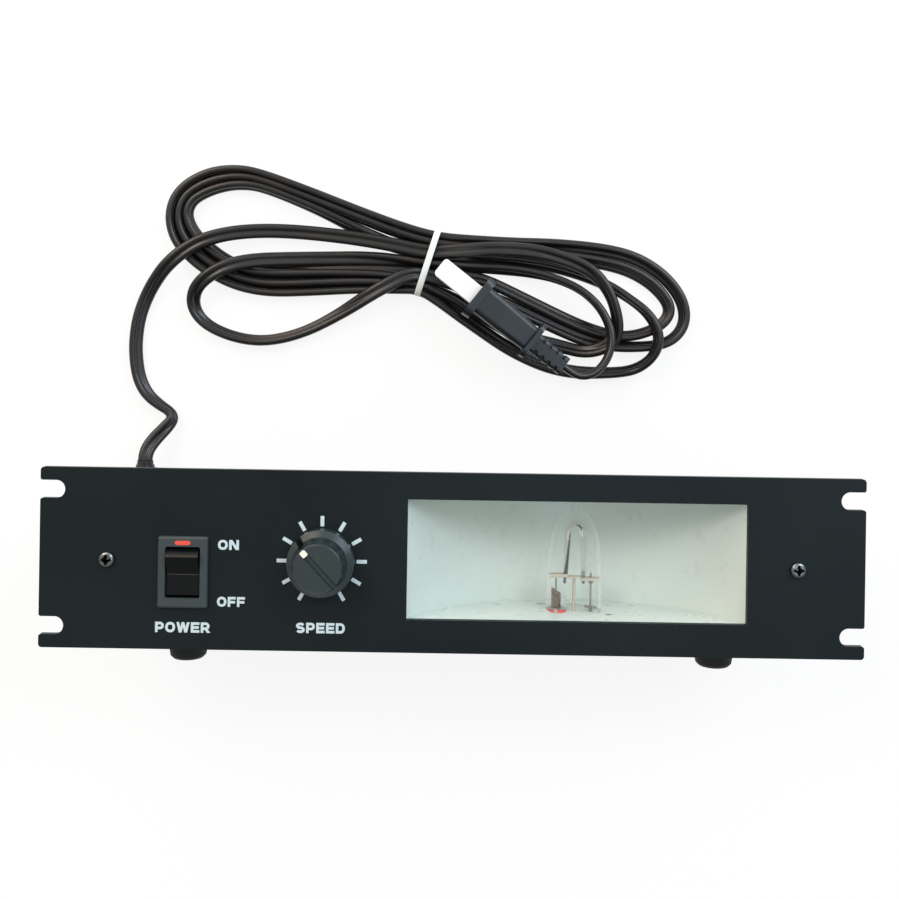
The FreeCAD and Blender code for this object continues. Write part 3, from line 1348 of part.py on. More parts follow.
HANK_OUTLINE = [
    (-19.6, 160.6), (-51.0, 172.6), (-92.0, 185.4), (-120.0, 190.4), (-139.4, 182.6),
    (-148.6, 165.6), (-145.6, 148.0), (-137.4, 133.0), (-136.0, 118.0), (-122.0, 105.2),
    (-95.0, 99.2), (-68.0, 104.4), (-45.0, 116.0), (-24.4, 125.2), (-8.0, 121.0),
    (10.6, 105.6), (32.0, 93.4), (50.0, 86.0), (68.0, 84.2), (92.0, 87.6), (108.0, 98.6),
    (118.6, 112.0), (116.6, 124.6), (106.0, 136.6), (86.0, 148.8), (56.0, 154.6), (3.0, 157.4),
]


def cord_bushing():
    """Tapered rubber strain relief, clipped in the chassis top."""
    body = new_body("cord_bushing")
    sketch = new_sketch(body, "XZ")
    wall_out = HOUSE_TOP - EXIT_Y
    wall_in = TOP_IN - EXIT_Y
    flange = 5.8
    polygon(sketch, [
        (0.0, wall_in - BUSHING_IN), (4.2, wall_in - BUSHING_IN), (4.8, wall_in - 2),
        (flange, wall_in - 2), (flange, wall_in), (CORD_HOLE, wall_in), (CORD_HOLE, wall_out),
        (flange, wall_out), (5.6, wall_out + 1.4), (4.7, wall_out + 1.6), (4.5, wall_out + 3.0),
        (4.1, wall_out + 3.2), (3.9, 0.0), (0.0, 0.0)])
    revolve(body, sketch)
    place(body, (EXIT_X, EXIT_Y, EXIT_Z), Rotation(Z_AXIS, Y_AXIS))
    return body


def tube_node(name, route):
    node = doc.addObject("Part::Feature", name)
    node.Shape = flexible_tube(name, route, CORD_R)
    node.Placement = Placement()
    return node


def tie_block(name, length, low, height, width):
    """A block along the tie's line across the hank."""
    block = box(name, (0, 0, 0), (length, width, height))
    doc.recompute()
    turn = Rotation(Z_AXIS, TIE_TURN)
    corner = turn.multVec(Vector(-float(length) / 2, -float(width) / 2, 0))
    block.Placement = Placement(Vector(TIE_MIDDLE[0] + corner.x, TIE_MIDDLE[1] + corner.y,
                                       float(low)), turn)
    return block


def cord_tie():
    """White strap round the waist of the hank."""
    outer = tie_block("tie_outer", TIE_SPAN + TIE_T * 2, 0.0, HANK_T + TIE_T, TIE_W)
    inner = tie_block("tie_inner", TIE_SPAN, TIE_T, HANK_T - TIE_T, TIE_W + 1)
    return cut("cord_tie", outer, [inner])


def cord_hank(tie):
    """Outer shape of the folded and tied length of cord."""
    doc.recompute()
    outline = Part.BSplineCurve()
    outline.interpolate(Points=[Vector(x, y, 0) for x, y in HANK_OUTLINE], PeriodicFlag=True)
    face = Part.Face(Part.Wire(outline.toShape()))
    solid = face.extrude(Vector(0, 0, float(HANK_T)))
    solid = solid.cut(tie.Shape)
    node = doc.addObject("Part::Feature", "cord_hank")
    node.Shape = solid.Solids[0]
    for other in solid.Solids:
        if other.Volume > node.Shape.Volume:
            node.Shape = other
    node.Placement = Placement()
    return node


def plug_body():
    """Moulded plug on its side: face flange, tapered body, finger flange, ribbed relief."""
    def slab(u_pair, v_pair, w_pair):
        """Loft between two rounded sections."""
        first = rounded_outline(u_pair[0], v_pair[0], w_pair[0])
        second = rounded_outline(u_pair[1], v_pair[1], w_pair[1])
        return Part.makeLoft([first, second], True, True)

    face_flange = slab((0.0, 4.2), (11.6, 11.2), (13.0, 12.6))
    shell = slab((4.2, 17.0), (7.5, 7.3), (12.0, 11.6))
    waist = slab((17.0, 34.6), (7.3, 6.5), (11.6, 9.5))
    finger_flange = slab((34.6, 37.0), (9.9, 9.7), (12.5, 12.3))
    relief = slab((37.0, PLUG_END), (5.3, 4.8), (6.0, 5.5))
    solid = face_flange.fuse([shell, waist, finger_flange, relief])
    # four deep slots from both sides leave ribs on a spine
    spine, groove_w, pitch = 2.3, 1.7, 4.1
    for i in range(4):
        for side in (-1, 1):
            low = spine if side > 0 else -spine - 5.0
            slot = Part.makeBox(groove_w, 5.0, 14.0, Vector(39.6 + pitch * i, low, -7.0))
            solid = solid.cut(slot)
    node = doc.addObject("Part::Feature", "plug_body")
    node.Shape = solid.removeSplitter()
    return place(node, (PLUG_X, PLUG_Y, PLUG_Z), Rotation(Z_AXIS, float(PLUG_TURN)))


def rounded_outline(u, half_v, half_w):
    """Closed outline of a rounded rectangle in the plane u = constant."""
    corner = 0.4 * min(half_v, half_w)
    edges = []
    centres = [(half_v - corner, half_w - corner), (-(half_v - corner), half_w - corner),
               (-(half_v - corner), -(half_w - corner)), (half_v - corner, -(half_w - corner))]
    ends = []
    for quarter, (v, w) in enumerate(centres):
        spots = []
        for step in (0.0, 45.0, 90.0):
            angle = math.radians(90.0 * quarter + step)
            spots.append(Vector(u, v + corner * math.cos(angle), w + corner * math.sin(angle)))
        edges.append(Part.Arc(*spots).toShape())
        ends.append((spots[0], spots[2]))
    for i in range(4):
        edges.append(Part.LineSegment(ends[i][1], ends[(i + 1) % 4][0]).toShape())
    return Part.Wire(Part.__sortEdges__(edges))


def plug_blades():
    """Two flat blades, one above the other, with a hole near the tip of each."""
    length, width, thick = float(BLADE_L), float(BLADE_W), float(BLADE_T)
    blades = []
    for side in (-1, 1):
        level = side * float(BLADE_PITCH) / 2
        low = Vector(-length, -width / 2, level - thick / 2)
        blade = Part.makeBox(length, width, thick, low)
        tip_edges = [e for e in blade.Edges
                     if runs_along(e, Z_AXIS) and middle(e).x < 1 - length]
        blade = blade.makeFillet(1.6, tip_edges)
        hole = Part.makeCylinder(1.6, 4.0, Vector(3.5 - length, 0, level - 2))
        blades.append(blade.cut(hole))
    node = doc.addObject("Part::Feature", "plug_blades")
    node.Shape = Part.makeCompound(blades)
    return place(node, (PLUG_X, PLUG_Y, PLUG_Z), Rotation(Z_AXIS, float(PLUG_TURN)))


def blade_cover():
    """White slip-on cover over both blades, shut at its far end."""
    length, width, height = float(COVER_L), float(COVER_W), float(COVER_H)
    solid = Part.makeBox(length, width, height, Vector(-length, -width / 2, -height / 2))
    far_edges = [e for e in solid.Edges
                 if runs_along(e, Z_AXIS) and middle(e).x < 1 - length]
    solid = solid.makeFillet(1.8, far_edges)
    room = 0.05
    for side in (-1, 1):
        level = side * float(BLADE_PITCH) / 2
        half_t = float(BLADE_T) / 2 + room
        half_w = float(BLADE_W) / 2 + room
        depth = float(BLADE_L) + room
        slot = Part.makeBox(depth, 2 * half_w, 2 * half_t,
                            Vector(-depth, -half_w, level - half_t))
        solid = solid.cut(slot)
    node = doc.addObject("Part::Feature", "blade_cover")
    node.Shape = solid
    return place(node, (PLUG_X, PLUG_Y, PLUG_Z), Rotation(Z_AXIS, float(PLUG_TURN)))


# ---------------------------------------------------------------- assembly

def build():
    """Every sub-part, each under the name of its node."""
    tie = cord_tie()
    nodes = {
        "front_panel": front_panel(),
        "panel_screws": panel_screws(),
        "chassis": chassis(),
        "bottom_cover": bottom_cover(),
        "cover_screws": cover_screws(),
        "rubber_feet": rubber_feet(),
        "foot_screws": foot_screws(),
        "foot_nuts": foot_nuts(),
        "reflector_back": reflector_back(),
        "reflector_floor": reflector_floor(),
        "reflector_roof": reflector_roof(),
        "reflector_screws": reflector_screws(),
        "lamp_envelope": lamp_envelope(),
        "flash_tube": flash_tube(),
        "lamp_electrodes": lamp_electrodes(),
        "lamp_spacer": lamp_spacer(),
        "lamp_support_rod": lamp_support_rod(),
        "lamp_lead_wires": lamp_lead_wires(),
        "lamp_star_washer": lamp_star_washer(),
        "lamp_seal_sleeves": lamp_seal_sleeves(),
        "lamp_seal_ring": lamp_seal_ring(),
        "lamp_getter_foil": lamp_getter_foil(),
        "lamp_base": lamp_base(),
        "lamp_pins": lamp_pins(),
        "lamp_socket": lamp_socket(),
        "socket_screws": socket_screws(),
        "switch_body": switch_body(),
        "switch_rocker": switch_rocker(),
        "switch_mark": switch_mark(),
        "switch_terminals": switch_terminals(),
        "speed_knob": knob(),
        "knob_pointer": knob_pointer(),
        "knob_set_screw": knob_set_screw(),
        "pot_shaft": pot_shaft(),
        "pot_body": pot_body(),
        "pot_bushing": pot_bushing(),
        "pot_washer": pot_washer(),
        "pot_nut": pot_nut(),
        "pot_terminals": pot_terminals(),
        "circuit_board": circuit_board(),
        "board_standoffs": board_standoffs(),
        "board_screws": board_screws(),
        "discharge_capacitors": discharge_capacitors(),
        "trigger_coil": trigger_coil(),
        "power_resistor": power_resistor(),
        "thyristor": thyristor(),
        "diodes": diodes(),
        "timing_capacitor": timing_capacitor(),
        "fuse": fuse_link(),
        "fuse_clips": fuse_clips(),
        "switch_wires": switch_wires(),
        "lamp_wires": lamp_wires(),
        "cord_bushing": cord_bushing(),
        "mains_cord_run": tube_node("mains_cord_run", CORD_ROUTE),
        "cord_hank": cord_hank(tie),
        "plug_cord_tail": tube_node("plug_cord_tail", TAIL_ROUTE),
        "cord_tie": tie,
        "plug_body": plug_body(),
        "plug_blades": plug_blades(),
        "blade_cover": blade_cover(),
    }
    for name, node in nodes.items():
        node.Label = name
    return nodes


def check(nodes):
    """Stops on any failed object or bad shape before anything is written."""
    doc.recompute()
    for obj in doc.Objects:
        if "Invalid" in obj.State or "Error" in obj.State:
            raise RuntimeError("%s has failed: %s" % (obj.Name, obj.State))
    for name, node in nodes.items():
        shape = node.Shape
        if shape.isNull() or not shape.isValid() or not shape.Solids:
            raise RuntimeError("%s has no valid solid" % name)


def write(nodes):
    os.makedirs("parts", exist_ok=True)
    for name, node in nodes.items():
        node.Shape.exportStep("parts/%s.step" % name)


parts = build()
check(parts)
write(parts)
print("%d nodes written" % len(parts))
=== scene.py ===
import math

import bmesh
import bpy
from mathutils import Matrix, Vector


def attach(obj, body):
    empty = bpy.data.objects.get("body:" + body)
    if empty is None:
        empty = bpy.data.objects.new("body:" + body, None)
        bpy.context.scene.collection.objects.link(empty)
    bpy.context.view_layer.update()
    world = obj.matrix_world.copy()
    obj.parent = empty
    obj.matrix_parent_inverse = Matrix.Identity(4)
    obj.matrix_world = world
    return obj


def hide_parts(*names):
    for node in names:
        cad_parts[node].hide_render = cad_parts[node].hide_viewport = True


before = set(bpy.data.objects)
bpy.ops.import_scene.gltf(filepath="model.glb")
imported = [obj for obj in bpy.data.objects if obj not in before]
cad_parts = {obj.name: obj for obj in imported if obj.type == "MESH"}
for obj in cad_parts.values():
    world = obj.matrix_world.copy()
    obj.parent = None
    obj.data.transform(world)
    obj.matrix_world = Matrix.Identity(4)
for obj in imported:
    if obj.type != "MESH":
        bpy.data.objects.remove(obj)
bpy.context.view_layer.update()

# The xenon stroboscope lies on its back, seen from above: +X right along the
# panel, +Y its own up, +Z out of the panel. Lengths in the tables are in
# millimetres, and MM brings them to metres.
MM = 0.001

PANEL_FRONT = 83.0
KNOB = (-57.85, 5.36)
INK_THICK = 0.06

# the flat two-core cord: its section in mm
CORD_WIDE = 7.4
CORD_THICK = 3.7

# the lens, its shift, and its place in mm and degrees
LENS = 45.2
SENSOR = 36.0
LENS_SHIFT = (-0.0061, -0.133)
CAMERA_AT = (-0.48, 108.7, 583.0)
CAMERA_ROLL = 0.905


# ------------------------------------------------------------------ camera

def make_camera():
    """Straight down on the panel, with the frame shifted below the lens axis."""
    data = bpy.data.cameras.new("camera")
    data.lens = LENS
    data.sensor_width = SENSOR
    data.shift_x, data.shift_y = LENS_SHIFT
    camera = bpy.data.objects.new("camera", data)
    bpy.context.scene.collection.objects.link(camera)
    camera.location = [c * MM for c in CAMERA_AT]
    camera.rotation_euler = (0.0, 0.0, math.radians(CAMERA_ROLL))
    bpy.context.scene.camera = camera


make_camera()


# ------------------------------------------------------------------ helpers

def linear(code):
    """A colour written as sRGB hex, as linear RGBA."""
    parts = [int(code[i:i + 2], 16) / 255 for i in (1, 3, 5)]
    return [c / 12.92 if c <= 0.04045 else ((c + 0.055) / 1.055) ** 2.4 for c in parts] + [1.0]


def add(tree, kind, sockets=None, **settings):
    """Adds a node; a socket value that is an output is linked, any other is set."""
    node = tree.nodes.new(kind)
    for name, value in settings.items():
        setattr(node, name, value)
    for name, value in (sockets or {}).items():
        if isinstance(value, bpy.types.NodeSocket):
            tree.links.new(value, node.inputs[name])
        else:
            node.inputs[name].default_value = value
    return node


def new_material(name):
    """A new material and its node tree, which is empty."""
    material = bpy.data.materials.new(name)
    material.use_nodes = True
    material.node_tree.nodes.clear()
    return material, material.node_tree


def link(obj):
    """Puts an object into the scene and hands it back."""
    bpy.context.scene.collection.objects.link(obj)
    return obj


def piece(name, bm, material, body="unit", smooth=True):
    """A finished bmesh as a piece of the object, riding on a body."""
    mesh = bpy.data.meshes.new(name)
    bm.to_mesh(mesh)
    bm.free()
    for polygon in mesh.polygons:
        polygon.use_smooth = smooth
    mesh.materials.append(material)
    obj = link(bpy.data.objects.new(name, mesh))
    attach(obj, body)
    return obj


# ------------------------------------------------------------------ mains cord

# Each point is x, y, z and the roll of the flat cord: 0 lies flat, 90 stands
# on edge. Strands go right along the top of the hank and left along its foot,
# and each table ends where its strand passes the tie or reaches the plug.
LEAD_IN = [
    (-155.8, 40.5, 13.0, 0), (-155.8, 44.6, 12.4, 0), (-152.6, 50.4, 9.6, 10),
    (-147.4, 56.4, 6.4, 30), (-144.2, 60.6, 4.6, 60), (-145.6, 64.4, 3.9, 80),
    (-151.0, 67.6, 3.7, 70), (-157.4, 72.6, 3.5, 55), (-161.8, 80.0, 3.2, 45),
    (-163.8, 89.2, 3.2, 45), (-164.4, 99.8, 3.2, 45), (-163.0, 112.0, 3.2, 45),
    (-159.2, 123.0, 3.6, 40), (-154.0, 131.6, 6.0, 30), (-147.6, 139.4, 9.4, 20),
    (-138.4, 147.4, 10.0, 12), (-127.4, 153.3, 9.8, 8), (-111.0, 157.2, 7.6, 8),
    (-89.1, 158.2, 5.0, 8), (-59.8, 155.9, 4.9, 5), (-35.4, 152.3, 6.3, 0),
    (-13.4, 147.9, 6.4, 0),
]
TOP_TURN = [
    (2.0, 149.2, 8.4, 0), (18.0, 150.3, 9.6, 0), (33.0, 150.0, 9.7, 0),
    (47.0, 148.0, 9.7, 10), (63.8, 142.5, 10.0, 25), (72.3, 136.3, 10.6, 45),
    (77.9, 128.0, 11.0, 65), (81.2, 118.8, 11.0, 65), (82.0, 110.6, 10.8, 45),
    (79.6, 103.6, 10.0, 20), (72.6, 99.6, 7.6, 35), (64.7, 98.4, 5.0, 42),
    (56.0, 100.6, 3.1, 30), (44.0, 103.4, 2.8, 27), (30.0, 106.4, 3.1, 38),
    (15.0, 115.0, 3.3, 46), (2.0, 123.4, 3.5, 53), (-8.0, 128.2, 4.0, 64),
    (-18.3, 132.0, 4.5, 90),
]
LEFT_MIDDLE = [
    (-30.0, 132.8, 4.1, 75), (-51.0, 133.8, 3.5, 62), (-75.0, 132.7, 3.4, 55),
    (-97.0, 131.9, 3.4, 52), (-110.6, 134.3, 3.5, 58), (-123.2, 139.8, 3.5, 62),
    (-132.0, 146.4, 3.5, 62), (-138.4, 153.0, 3.55, 66), (-141.8, 159.6, 3.6, 70),
    (-142.7, 166.8, 3.65, 74), (-140.4, 174.0, 3.65, 74), (-134.0, 179.6, 3.65, 74),
    (-124.0, 183.8, 3.65, 74), (-112.8, 185.4, 3.65, 74), (-101.2, 183.9, 3.65, 74),
    (-75.5, 174.4, 3.6, 70), (-50.0, 164.9, 3.6, 70), (-29.0, 157.0, 4.1, 68),
    (-11.7, 153.2, 4.5, 90),
]
RIGHT_SECOND = [
    (8.0, 150.9, 4.1, 70), (29.5, 149.0, 3.4, 50), (52.0, 147.4, 3.0, 38),
    (72.5, 144.7, 2.95, 36), (87.0, 141.4, 2.95, 36), (98.4, 135.4, 3.05, 40),
    (106.0, 128.2, 3.25, 48), (109.6, 121.8, 3.4, 55), (108.2, 115.8, 3.5, 62),
    (101.8, 110.6, 3.5, 62), (91.1, 107.0, 3.5, 62), (81.2, 106.9, 3.4, 55),
    (69.4, 109.9, 3.2, 45), (57.6, 114.5, 3.2, 42), (39.8, 122.9, 3.2, 42),
    (25.0, 129.9, 3.2, 42), (16.0, 133.9, 3.2, 42), (8.0, 135.8, 2.9, 35),
    (-4.0, 136.6, 2.6, 10), (-16.6, 137.3, 2.65, 0),
]
LEFT_INNER = [
    (-30.0, 137.6, 2.6, 15), (-41.0, 138.3, 3.05, 40), (-55.0, 138.3, 3.3, 50),
    (-75.0, 137.9, 3.3, 50), (-97.0, 137.2, 3.4, 55), (-108.6, 138.6, 3.5, 60),
    (-119.2, 143.4, 3.5, 62), (-127.4, 149.4, 3.5, 62), (-133.4, 155.0, 3.55, 66),
    (-137.2, 160.8, 3.6, 70), (-138.7, 166.6, 3.65, 74), (-136.6, 172.4, 3.65, 74),
    (-130.6, 176.6, 3.65, 74), (-121.2, 180.2, 3.65, 74), (-111.0, 181.6, 3.65, 74),
    (-99.8, 180.2, 3.65, 74), (-77.0, 171.4, 3.6, 70), (-62.0, 164.6, 3.5, 62),
    (-47.0, 157.2, 3.1, 40), (-31.0, 150.6, 2.1, 5), (-13.4, 147.9, 2.65, 0),
]
RIGHT_THIRD = [
    (-2.0, 146.8, 2.7, 15), (8.0, 146.2, 3.3, 50), (21.4, 145.2, 3.3, 50),
    (34.0, 144.3, 3.3, 50), (48.0, 142.3, 3.3, 50), (63.6, 138.2, 3.4, 56),
    (78.3, 132.4, 3.5, 62), (88.2, 126.2, 6.2, 78), (97.1, 118.9, 10.4, 72),
    (102.1, 110.8, 11.1, 70), (102.9, 103.0, 11.1, 70), (99.6, 95.4, 8.6, 75),
    (92.8, 90.2, 5.0, 62), (84.9, 88.3, 3.5, 62), (74.0, 87.8, 3.4, 50),
    (62.0, 87.8, 3.0, 35), (50.0, 89.9, 2.7, 25), (38.0, 94.2, 2.6, 22),
    (25.0, 100.8, 2.6, 22), (12.0, 109.5, 2.7, 26), (0.0, 117.4, 3.1, 38),
    (-9.0, 123.2, 3.9, 62), (-19.4, 128.5, 4.5, 90),
]
LEFT_OUTER = [
    (-31.0, 128.9, 4.1, 75), (-51.0, 129.2, 3.5, 62), (-75.0, 127.6, 3.5, 60),
    (-96.0, 126.7, 3.5, 60), (-112.0, 129.4, 3.5, 62), (-126.0, 135.8, 3.5, 62),
    (-136.2, 143.2, 3.5, 62), (-143.0, 150.6, 3.55, 66), (-146.6, 158.4, 3.6, 70),
    (-147.4, 166.9, 3.65, 74), (-144.6, 175.6, 3.65, 74), (-137.6, 182.6, 3.65, 74),
    (-126.9, 187.8, 3.65, 74), (-114.7, 189.4, 3.65, 74), (-102.6, 187.9, 3.65, 74),
    (-75.0, 178.1, 3.6, 70), (-50.0, 168.6, 3.6, 70), (-28.0, 161.0, 4.1, 75),
    (-10.6, 156.7, 4.5, 90),
]
RIGHT_OUTER = [
    (8.0, 154.8, 4.1, 70), (29.5, 153.5, 3.4, 50), (50.0, 153.1, 3.0, 38),
    (73.0, 151.3, 2.95, 36), (89.8, 147.8, 2.95, 36), (103.0, 140.6, 3.05, 40),
    (112.0, 131.8, 3.25, 48), (116.9, 122.6, 3.4, 55), (117.2, 113.8, 3.5, 62),
    (113.0, 106.8, 3.5, 62), (105.8, 102.8, 3.5, 62), (94.1, 101.4, 3.5, 62),
    (81.3, 101.6, 3.3, 50), (69.0, 103.6, 2.85, 32), (57.0, 108.2, 2.65, 25),
    (39.2, 116.2, 2.65, 25), (25.4, 122.6, 2.9, 30), (12.0, 127.8, 4.8, 35),
    (-2.0, 132.6, 6.2, 10), (-16.6, 136.8, 6.35, 0),
]
SMALL_TURN = [
    (-25.0, 136.6, 8.8, 0), (-34.0, 131.8, 9.9, 0), (-43.0, 126.6, 9.8, 5),
    (-52.0, 120.8, 7.2, 25), (-62.0, 114.6, 4.4, 45), (-74.2, 108.0, 3.5, 55),
    (-87.0, 103.4, 3.45, 58), (-99.6, 101.4, 3.5, 60), (-112.0, 102.8, 3.5, 60),
    (-123.8, 107.0, 3.45, 60), (-131.4, 112.4, 3.5, 55), (-135.0, 119.4, 4.6, 45),
    (-133.4, 127.2, 8.2, 30), (-127.2, 133.9, 10.2, 15), (-117.4, 139.4, 10.2, 5),
    (-104.0, 142.7, 8.2, 0), (-84.6, 143.8, 4.0, 0), (-66.0, 144.4, 2.2, 0),
    (-48.0, 144.9, 2.3, 12), (-32.0, 144.2, 3.2, 45), (-15.0, 142.6, 4.5, 90),
]
TAIL = [
    (-2.0, 141.7, 4.1, 75), (10.0, 140.8, 3.5, 62), (24.0, 140.1, 4.4, 58),
    (38.0, 138.6, 6.6, 66), (51.0, 135.5, 9.6, 80), (62.8, 130.2, 12.0, 86),
    (71.4, 122.6, 13.8, 86), (76.4, 114.2, 15.4, 86), (78.4, 105.6, 16.8, 88),
    (77.0, 97.4, 17.8, 90), (73.0, 91.0, 19.0, 90), (67.4, 87.0, 20.6, 90),
    (61.6, 86.6, 21.6, 90), (57.3, 88.8, 22.0, 90), (53.7, 91.5, 22.0, 90),
]
CORD_ROUTE = (LEAD_IN + TOP_TURN + LEFT_MIDDLE + RIGHT_SECOND + LEFT_INNER
              + RIGHT_THIRD + LEFT_OUTER + RIGHT_OUTER + SMALL_TURN + TAIL)


# each round core shows this far to either side of the cord's edge, in degrees
CORE_ARC = 145.0
CORE_STEPS = 5


def cord_section():
    """Section of the two-core cord: two round cores joined by a narrower web."""
    data = bpy.data.curves.new("cord_section", "CURVE")
    core = CORD_THICK / 2
    reach = CORD_WIDE / 2 - core
    points = []
    for side in (1, -1):
        for step in range(-CORE_STEPS, CORE_STEPS + 1):
            angle = math.radians(CORE_ARC * step / CORE_STEPS)
            points.append((side * (reach + core * math.cos(angle)),
                           side * core * math.sin(angle)))
    spline = data.splines.new("POLY")
    spline.points.add(len(points) - 1)
    for point, (x, y) in zip(spline.points, points):
        point.co = (x * MM, y * MM, 0.0, 1.0)
    spline.use_cyclic_u = True
    return link(bpy.data.objects.new("cord_section", data))


def cord_curve():
    """The cord's route as one smooth line with its roll."""
    data = bpy.data.curves.new("mains_cord_line", "CURVE")
    data.dimensions = "3D"
    data.resolution_u = 7
    data.twist_mode = "Z_UP"
    spline = data.splines.new("NURBS")
    spline.points.add(len(CORD_ROUTE) - 1)
    for point, (x, y, z, roll) in zip(spline.points, CORD_ROUTE):
        point.co = (x * MM, y * MM, z * MM, 1.0)
        point.tilt = math.radians(roll)
    spline.order_u = 3
    spline.use_endpoint_u = True
    return link(bpy.data.objects.new("mains_cord_line", data))


def mesh_of(obj, name):
    """The finished mesh of a curve object, read after its settings are taken in."""
    graph = bpy.context.evaluated_depsgraph_get()
    mesh = bpy.data.meshes.new_from_object(obj.evaluated_get(graph))
    mesh.name = name
    return mesh


def make_cord(material):
    """The flat mains cord, from the bushing through the hank to the plug."""
    line = cord_curve()
    bpy.context.view_layer.update()
    path = [v.co.copy() for v in mesh_of(line, "cord_path").vertices]
    section = cord_section()
    line.data.bevel_mode = "OBJECT"
    line.data.bevel_object = section
    line.data.use_fill_caps = True
    bpy.context.view_layer.update()
    mesh = mesh_of(line, "mains_cord")
    for old in (line, section):
        bpy.data.objects.remove(old)
    for polygon in mesh.polygons:
        polygon.use_smooth = True
    mesh.materials.clear()
    mesh.materials.append(material)
    cord = link(bpy.data.objects.new("mains_cord", mesh))
    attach(cord, "unit")
    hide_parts("mains_cord_run", "cord_hank", "plug_cord_tail")


# ------------------------------------------------------------------ finishes

# the values between which a noise texture nearly always lies
NOISE_RANGE = {"From Min": 0.3, "From Max": 0.7}


def finish(name, dark, light, grain, rough, relief=0.0, stretch=(1, 1, 1), patch=60.0,
           patch_shift=0.25, **shader):
    """A finish with fine grain and broad unevenness in colour, gloss and relief.

    grain and patch are sizes in mm, relief is the grain's height in mm, and
    rough is the gloss range from the grain's low to its high places.
    """
    material, tree = new_material(name)
    place = add(tree, "ShaderNodeTexCoord")
    frame_of = add(tree, "ShaderNodeMapping",
                   {"Vector": place.outputs["Object"], "Scale": stretch})
    fine = add(tree, "ShaderNodeTexNoise",
               {"Vector": frame_of.outputs["Vector"], "Scale": 1 / (grain * MM),
                "Detail": 3.0, "Roughness": 0.6})
    broad = add(tree, "ShaderNodeTexNoise",
                {"Vector": place.outputs["Object"], "Scale": 1 / (patch * MM),
                 "Detail": 2.0})
    both = add(tree, "ShaderNodeMix",
               {"Factor": patch_shift, "A": fine.outputs["Fac"], "B": broad.outputs["Fac"]})
    spread = add(tree, "ShaderNodeMapRange", {"Value": both.outputs["Result"], **NOISE_RANGE})
    colour = add(tree, "ShaderNodeMix",
                 {"Factor": spread.outputs["Result"]}, data_type="RGBA")
    colour.inputs["A"].default_value = linear(dark)
    colour.inputs["B"].default_value = linear(light)
    gloss = add(tree, "ShaderNodeMapRange",
                {"Value": both.outputs["Result"], "To Min": rough[0], "To Max": rough[1],
                 **NOISE_RANGE})
    sockets = {"Base Color": colour.outputs[2], "Roughness": gloss.outputs["Result"]}
    if relief:
        bump = add(tree, "ShaderNodeBump",
                   {"Height": fine.outputs["Fac"], "Distance": relief * MM, "Strength": 1.0})
        sockets["Normal"] = bump.outputs["Normal"]
    sockets.update(shader)
    surface = add(tree, "ShaderNodeBsdfPrincipled", sockets)
    add(tree, "ShaderNodeOutputMaterial", {"Surface": surface.outputs["BSDF"]})
    return material


def colour_zone(material, code, middle, reach, soft=0.1, both_sides=False):
    """Gives a finish another colour in one round place of its piece, in mm.

    A long reach along an axis makes a band, and both_sides mirrors it in X.
    """
    tree = material.node_tree
    surface = tree.nodes["Principled BSDF"]
    was = surface.inputs["Base Color"].links[0].from_socket
    place = add(tree, "ShaderNodeTexCoord").outputs["Object"]
    if both_sides:
        place = add(tree, "ShaderNodeVectorMath", {0: place}, operation="ABSOLUTE").outputs[0]
    local = add(tree, "ShaderNodeMapping",
                {"Vector": place, "Location": [c * MM for c in middle],
                 "Scale": [c * MM for c in reach]}, vector_type="TEXTURE")
    away = add(tree, "ShaderNodeVectorMath", {0: local.outputs["Vector"]}, operation="LENGTH")
    share = add(tree, "ShaderNodeMapRange",
                {"Value": away.outputs["Value"], "From Min": 1.0 - soft, "From Max": 1.0,
                 "To Min": 1.0, "To Max": 0.0})
    colour = add(tree, "ShaderNodeMix", {"Factor": share.outputs["Result"]}, data_type="RGBA")
    tree.links.new(was, colour.inputs["A"])
    colour.inputs["B"].default_value = linear(code)
    tree.links.new(colour.outputs[2], surface.inputs["Base Color"])


# satin stove enamel on aluminium: near black, a faint orange peel under a soft sheen
panel_enamel = finish("satin black stove enamel", "#0F1618", "#182224", 0.7, (0.40, 0.48),
                      relief=0.006, patch=90.0, patch_shift=0.6,
                      **{"Specular IOR Level": 0.16})
# the same enamel on folded steel, a little rougher
housing_enamel = finish("black enamel on folded steel", "#16181A", "#232629", 0.8,
                        (0.40, 0.55), relief=0.01, patch=70.0)
# plated steel screws, bright with fine turning marks
bright_plate = finish("bright nickel plated steel", "#A2A4A5", "#BFC1C1", 0.25, (0.16, 0.24),
                      relief=0.001, Metallic=1.0)
# the panel screws' plating, with painted shade down in the cross recess
plate_with_painted_recess_shade = finish("bright plated screw head", "#6C7373", "#8C9292", 0.25, (0.16, 0.26),
                        relief=0.001, Metallic=1.0)
colour_zone(plate_with_painted_recess_shade, "#0E1416", (153.0, 4.8, 83.9), (2.5, 2.5, 1.25), both_sides=True)
# zinc plated steel, dull and slightly blue, with small crystal patches
zinc_plate = finish("zinc plated steel", "#8A9096", "#B9BEC2", 1.2, (0.30, 0.48),
                    relief=0.004, Metallic=1.0)
# black rubber, matt with a fine dusty grain
foot_rubber = finish("black moulded rubber", "#0E0E0F", "#1D1D1E", 0.4, (0.62, 0.80),
                     relief=0.02)
# white gloss enamel in the lamp's recess, a touch green and nearly smooth
white_enamel = finish("gloss white enamel", "#CEDAD4", "#D1DCD6", 9.0, (0.27, 0.285),
                      relief=0.004, patch=120.0, **{"Coat Weight": 0.12, "Coat Roughness": 0.25})
# oxidised nickel and tungsten of the electrodes
dark_metal = finish("oxidised dark nickel", "#6A6C6B", "#8C8D8A", 0.5, (0.35, 0.55),
                    relief=0.01, Metallic=0.5)
# scorched getter foil, brown with pale and dark blotches
scorched_foil = finish("scorched brown foil", "#443933", "#978779", 1.1, (0.30, 0.50),
                       relief=0.03, patch=4.0, Metallic=0.55)
